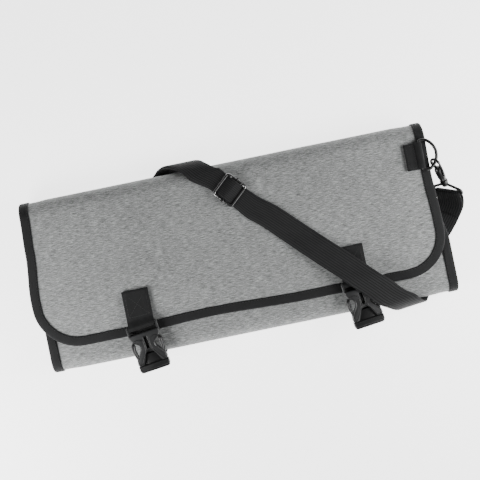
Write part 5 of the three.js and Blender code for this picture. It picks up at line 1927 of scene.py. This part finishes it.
@dataclass
class WireSlider:
    """The wire slider that shortens the strap."""

    wire: float = 1.3
    length: float = 24.8
    width: float = 27.4
    x: float = 0.014
    y: float = 0.663
    turn: float = 42.0
    corner: float = 3.6
    nub: float = 4.0
    swell: float = 1.45
    plump: float = 0.45
    layer_step: float = SIZE.web + 2 * SIZE.gap

    @property
    def strap_low(self) -> float:
        """Middle height of the strap on the flap."""
        return SIZE.flap_top + SIZE.gap + SIZE.web / 2

    @property
    def strap_high(self) -> float:
        """Middle height of the outer layer of the doubled strap."""
        return self.strap_low + self.layer_step

    @property
    def clear(self) -> float:
        """From a bar's middle to the middle of the strap round it."""
        return self.wire + SIZE.gap + SIZE.web / 2

    @property
    def over(self) -> float:
        """From the middle bar to the middle of the outer layer over it."""
        return self.clear + SIZE.gap + SIZE.web

    @property
    def z(self) -> float:
        """Height of the bars."""
        return (self.strap_low + self.strap_high) / 2 + self.clear

    @property
    def at(self) -> Point:
        """The slider's middle."""
        return Vector((self.x * SIZE.half_width, self.y * SIZE.half_depth, self.z))

    @property
    def ahead(self) -> Vector:
        """The strap's direction through it."""
        return Vector((-sin(radians(self.turn)), cos(radians(self.turn)), 0))

    def beside(self, distance: float, height: float, squeeze: float) -> Station:
        """A station of the strap, a distance along it from the slider's middle."""
        place = self.at + self.ahead * distance
        place.z = height
        return Station(place, bearing(self.turn), squeeze)

    def build(self, bench: Workbench, finishes: Finishes) -> None:
        """Bends the loop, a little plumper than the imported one, and sets the middle bar with its nubs."""
        tilt = asin(self.layer_step / self.length)
        placing = Matrix.Translation(self.at) @ Matrix.Rotation(radians(self.turn), 4, "Z")
        placing = placing @ Matrix.Rotation(tilt, 4, "X")
        half_w, half_l = self.width / 2, self.length / 2
        signs = ((1, 1), (-1, 1), (-1, -1), (1, -1))
        corners = [placing @ Vector((x * half_w, y * half_l, 0)) for x, y in signs]
        bent = rounded(corners, self.corner, 10, 8)
        loop = WireTree(finishes.bright).bend(bench, "slider_wire_loop", bent, self.wire + self.plump)
        finish(loop, Body.ROLL, Slot.METAL, "strap_slider")
        big = self.swell * self.wire
        end = half_w + 0.5 + self.nub / 2
        inner = half_w + 0.5 - self.nub / 2
        side = [(self.wire, inner - 0.3), (big - 0.2, inner), (big, inner + 0.4)]
        side += [(big, end - 0.5), (big - 0.5, end)]
        profile = [(0.3, -end), *[(r, -h) for r, h in side[::-1]], *side, (0.3, end)]

        def lying(x: float, y: float, z: float) -> Point:
            """Lays the turned bar across the slider."""
            return placing @ Vector((y, x, z))

        points, faces = turned(profile, 18, lying)
        bar = bench.outward(bench.piece("slider_middle_bar", points, faces, finishes.metal))
        bar.data.set_sharp_from_angle(angle=radians(45))
        finish(bar, Body.ROLL, Slot.METAL, "strap_slider")


# The strap from the ground to the slider: x and y as shares of the half sizes, the rise from the ground to
# the flap, the rise over the buckle, and the turn and lift of its width in degrees.
STRAP_FRONT: Table = (
    (0.957, -0.334, 0, 0, -36, 0), (0.866, -0.673, 0, 0, -22, 0), (0.82, -0.896, 0.01, 0, -8, 0),
    (0.799, -1.01, 0.15, 0, 2, 0), (0.776, -1.06, 0.47, 0, 6, 0), (0.748, -1.041, 0.83, 0, 7, 0),
    (0.707, -0.974, 1, 0.43, 5, -1), (0.66, -0.883, 1, 0.93, 2, -2), (0.609, -0.76, 1, 1.19, 0, -2),
    (0.555, -0.633, 1, 1.19, 0, -2), (0.502, -0.505, 1, 0.88, 0, -2), (0.43, -0.332, 1, 0.6, 0, -1),
    (0.352, -0.145, 1, 0.3, 0, 0), (0.29, 0.005, 1, 0, 0, 0), (0.17, 0.291, 1, 0, 20, 0),
)

# The same from the slider over the upper fold and under the back.
STRAP_HUMP: Table = (
    (-0.098, 0.92, 0.985, 0, 6, 0), (-0.134, 1.005, 0.89, 0, 0, 0), (-0.166, 1.066, 0.73, 0, 0, 0),
    (-0.204, 1.092, 0.5, 0, 0, 0), (-0.242, 1.066, 0.27, 0, 0, 0), (-0.277, 1.0, 0.1, 0, 0, 0),
    (-0.315, 0.903, 0.004, 0, 0, 0), (-0.36, 0.79, 0, 0, -5, 0), (-0.47, 0.525, 0, 0, -30, 0),
)

# The strap between the eye and the ground: share of the way, swing along the roll and sag.
STRAP_RISE: Table = ((0.25, 7, 1.2), (0.5, 7, 3), (0.75, 4, 1.6))

# How the strap narrows in its last rows before the slider.
STRAP_NARROWING = (0.99, 0.97, 0.94)

# Angles round a bar, in radians, of the strap's loops.
LOOP_TURNS = (0.5, 1.0, 1.57, 2.14, 2.64)


@dataclass
class HiddenEnd:
    """The far end of the strap under the back: its hook, ring and tab."""

    x: float = -0.605
    y: float = 0.148
    bar: float = 1.5
    reach: float = 24.0

    @property
    def eye(self) -> Point:
        """The middle of the hook's bar."""
        return Vector((self.x * SIZE.half_width, self.y * SIZE.half_depth, SIZE.web + SIZE.gap + self.bar))

    @property
    def ahead(self) -> Vector:
        """The way from the strap to the ring."""
        return Vector((-sqrt(0.5), -sqrt(0.5), 0))

    @property
    def width(self) -> Vector:
        """The direction of the bar."""
        return bearing(-45)

    def build(self, fittings: FrontFittings) -> None:
        """Builds the plain hook, the ring and its tab."""
        hook = fittings.bench.copy("back_snap_hook", "back_hook_plate", fittings.finishes.metal, 0.3)
        finish(hook, Body.ROLL, Slot.METAL, "back_snap_hook")
        place = self.eye + self.ahead * (self.reach + fittings.sizes.depth)
        place.z = SIZE.back_mid - SIZE.wall / 2 + SIZE.gap
        turn = Matrix.Rotation(radians(45), 4, "Z") @ Matrix.Rotation(pi, 4, "X")
        placing = Matrix.Translation(place) @ turn
        fittings.ring("back_ring_wire", "back_d_ring", placing)
        fittings.ring_tab("back_folded_tab", "back_ring_tab", placing)


@dataclass
class CarryingStrap:
    """The shoulder strap, one length of webbing from the hook's eye to the slider's middle bar."""

    hook: RingAndHook
    slider: WireSlider
    hidden: HiddenEnd
    doubled: float = 0.865
    squeezed: float = 0.8
    lean: float = radians(31)
    buckle_top: float = 48.55
    seams: tuple[float, float] = (0.66, 0.76)
    seam_side: float = 2.6

    def station(self, row: Sequence[float], level: float, squeeze: float) -> Station:
        """A table row as a station."""
        x, y, up, over, turn, lift = row
        height = lerp(SIZE.web / 2, level, up) + over * (self.buckle_top - self.slider.strap_low)
        place = Vector((x * SIZE.half_width, y * SIZE.half_depth, height))
        return Station(place, bearing(turn, lift), squeeze)

    def by_the_hook(self) -> list[Station]:
        """From the sewn end, round the eye's bar and down to the ground."""
        hook = self.hook
        wide = hook.eye_width
        outside = -wide.cross(hook.axis).normalized()
        up = (hook.axis - wide * hook.axis.dot(wide)).normalized()
        radius = hook.eye_wire + SIZE.gap + SIZE.web / 2
        start = Station(hook.eye + outside * radius, wide)
        flat = self.station(STRAP_FRONT[0], self.slider.strap_low, 1.0)
        rising = []
        for share, out, sink in STRAP_RISE:
            place = start.place.lerp(flat.place, share) + Vector((out, 0, -sink))
            rising.append(Station(place, wide.lerp(flat.width, share).normalized()))
        sewn = []
        for i, station in enumerate([start, *rising[:2]]):
            apart = lerp(2 * radius, SIZE.web + 0.05, smooth(i / 2))
            sewn.append(Station(station.place - outside * apart, station.width))
        arc = [hook.eye + radius * (up * sin(t) - outside * cos(t)) for t in LOOP_TURNS]
        return [*sewn[::-1], *[Station(place, wide) for place in arc], start, *rising]

    def through_slider(self) -> list[Station]:
        """Under the near end, over the middle bar and under the far end."""
        s = self.slider
        half = s.length / 2
        low_in = half - s.clear * sin(self.lean)
        low_up = s.clear * (1 - cos(self.lean))
        top_out, top_up = s.over * sin(self.lean), s.z + s.over * cos(self.lean)
        rows = (
            (-half - 19, s.strap_low, 0.9),
            (-half - 9, s.strap_low, 0.865),
            (-half - 2.5, s.strap_low, 0.84),
            (-half, s.strap_low, 0.83),
            (-low_in, s.strap_low + low_up, self.squeezed),
            (-top_out, top_up, self.squeezed),
            (0, s.z + s.over, self.squeezed),
            (top_out, top_up, self.squeezed),
            (low_in, s.strap_high + low_up, self.squeezed),
            (half, s.strap_high, 0.83),
            (half + 3, s.strap_high, 0.84),
            (half + 9, s.strap_high, 0.855),
        )
        return [s.beside(*row) for row in rows]

    def coming_back(self, hump: Sequence[Station], before: Station) -> list[Station]:
        """The inner layer, from the hidden end to the loop round the slider's middle bar."""
        s = self.slider
        half = s.length / 2
        places = [station.place for station in (*hump, before)]
        inside = []
        for i, station in enumerate(hump):
            ahead = (places[i + 1] - places[max(0, i - 1)]).normalized()
            out = station.width.cross(ahead).normalized()
            inside.append(Station(station.place - out * s.layer_step, station.width, station.squeeze))
        lifted = Station(before.place + Vector((0, 0, s.layer_step + 0.6)), before.width, before.squeeze)
        rows = [s.beside(half + 9, s.strap_low, self.doubled), s.beside(half, s.strap_low, self.squeezed)]
        rows.append(s.beside(0.55 * half, s.strap_low + 0.5, self.squeezed))
        loop = []
        for i in range(9):
            angle = radians(lerp(-53, -300, i / 8))
            loop.append(s.beside(s.clear * cos(angle), s.z + s.clear * sin(angle), self.squeezed))
        return [lifted, *inside[::-1], *rows, *loop]

    def build(self, bench: Workbench, finishes: Finishes, sewing: StitchTree) -> None:
        """Sweeps the strap and sews its end at the hook's eye."""
        s, hidden = self.slider, self.hidden
        narrowing = dict(zip(STRAP_FRONT[-len(STRAP_NARROWING) :], STRAP_NARROWING))
        front = [self.station(row, s.strap_low, narrowing.get(row, 1.0)) for row in STRAP_FRONT]
        hump = [self.station(row, s.strap_high, self.doubled) for row in STRAP_HUMP]
        radius = hidden.bar + SIZE.gap + SIZE.web / 2
        down = Vector((0, 0, -1))
        last = Station(hidden.eye + down * radius, hidden.width)
        before = Station(last.place - hidden.ahead * 22, hidden.width, 0.95)
        arc = [
            Station(hidden.eye + radius * (down * cos(t) + hidden.ahead * sin(t)), hidden.width)
            for t in (*LOOP_TURNS, pi)
        ]
        outer = [*self.by_the_hook(), *front, *self.through_slider(), *hump, before, last]
        stations = [*outer, *arc, *self.coming_back(hump, before)]
        made = Webbing().sweep(bench, "carrying_strap", stations, finishes.webbing)
        finish(made, Body.ROLL, Slot.WEBBING, "shoulder_strap")
        rows = Webbing().sample(self.by_the_hook())
        seam: Seam = []
        half = SIZE.web_width / 2 - self.seam_side
        for place, width, out, _ in (rows[int(len(rows) * share)] for share in self.seams):
            for hand in (1, -1):
                face = place + out.normalized() * hand * (SIZE.web / 2 + 0.05)
                path = [face + width * lerp(-half, half, k / 8) for k in range(9)]
                seam += row_of_stitches(path, [out * hand] * 9, 2.4)
        finish(sewing.sew(bench, "strap_end_seam", seam, 2.0, 0.34), Body.ROLL, Slot.WEBBING)


@dataclass(frozen=True)
class Softbox:
    """A soft square lamp that faces the roll, in metres and watts."""

    name: str
    place: tuple[float, float, float]
    size: float
    power: float

    def hang(self) -> None:
        """Sets it up."""
        data = bpy.data.lights.new(self.name, "AREA")
        data.shape = "SQUARE"
        data.size = self.size
        data.energy = self.power
        lamp = placed(self.name, data)
        lamp.location = self.place
        lamp.rotation_euler = (-Vector(self.place)).to_track_quat("-Z", "Y").to_euler()


@dataclass
class Studio:
    """The white ground, the lights and the camera above it."""

    height: float = 1.17
    turn: float = -11.6
    aim: tuple[float, float] = (-0.0077, 0.01267)
    lens: float = 75.6
    sky: float = 0.16
    ground_half: float = 2.4
    lamps: tuple[Softbox, ...] = (
        Softbox("softbox_left", (-0.53, -0.22, 0.33), 0.36, 5.0),
        Softbox("softbox_right", (0.54, -0.06, 0.33), 0.34, 4.1),
        Softbox("softbox_front", (0.4, -0.52, 0.5), 0.34, 0.9),
    )

    def camera(self) -> None:
        """Sets the camera straight above the roll, turned as in the photograph."""
        data = bpy.data.cameras.new("camera")
        data.lens = self.lens
        data.sensor_width = 36.0
        data.clip_start = 0.05
        data.clip_end = 20.0
        camera = placed("camera", data)
        camera.location = (*self.aim, self.height)
        camera.rotation_euler = (0, 0, radians(self.turn))
        bpy.context.scene.camera = camera

    def light(self) -> None:
        """Fills the room with soft white light."""
        world = bpy.data.worlds.new("studio_light")
        world.use_nodes = True
        back = world.node_tree.nodes["Background"]
        back.inputs["Color"].default_value = (1.0, 1.0, 1.0, 1.0)
        back.inputs["Strength"].default_value = self.sky
        bpy.context.scene.world = world
        for lamp in self.lamps:
            lamp.hang()

    def ground(self) -> None:
        """Lays the white paper."""
        size = self.ground_half
        mesh = bpy.data.meshes.new("studio_ground")
        corners = [(-size, -size, 0), (size, -size, 0), (size, size, 0), (-size, size, 0)]
        mesh.from_pydata(corners, [], [(0, 1, 2, 3)])
        mesh.materials.append(StudioPaper().make())
        placed("studio_ground", mesh)


def drawing_shift() -> Vector:
    """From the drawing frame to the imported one, in millimetres, by the left tab's box."""
    low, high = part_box("flap_tab_left")
    tab = Fastening(BUCKLES[0])
    middle = (low[0] + high[0]) / 2 / MM
    return Vector((middle - tab.side.x, high[1] / MM - (tab.bar.y + tab.tab_length), 0.0))


def main() -> None:
    """Builds the knife roll piece by piece."""
    logging.basicConfig(level=logging.INFO, format="%(message)s")
    shift = drawing_shift()
    LOG.info("shift %s", tuple(round(value, 4) for value in shift))
    bench = Workbench(shift)
    studio = Studio()
    studio.camera()
    studio.light()
    studio.ground()
    finishes = Finishes()
    sewing = StitchTree(finishes.thread)
    wires = WireTree(finishes.metal)
    quilt = QuiltedPanel(PanelForm())
    moulded = WireTree(finishes.plug)
    for side in BUCKLES:
        fastening = Fastening(side)
        fastening.tab(bench, finishes, sewing)
        fastening.strap(bench, finishes, sewing)
        fastening.socket(bench, finishes, moulded)
        fastening.plug(bench, finishes, moulded)
    hook = RingAndHook()
    fittings = FrontFittings(hook, bench, finishes, wires, sewing)
    placing = Matrix.Translation(hook.at)
    fittings.ring("front_ring_wire", "d_ring", placing)
    fittings.ring_tab("folded_ring_tab", "ring_tab", placing)
    fittings.hook()
    fittings.swivel_eye()
    slider = WireSlider()
    slider.build(bench, finishes)
    hidden = HiddenEnd()
    hidden.build(fittings)
    CarryingStrap(hook, slider, hidden).build(bench, finishes, sewing)
    quilt.panel(bench, finishes.cloth)
    quilt.binding(bench, finishes.binding, sewing)


if __name__ == "__main__":
    main()
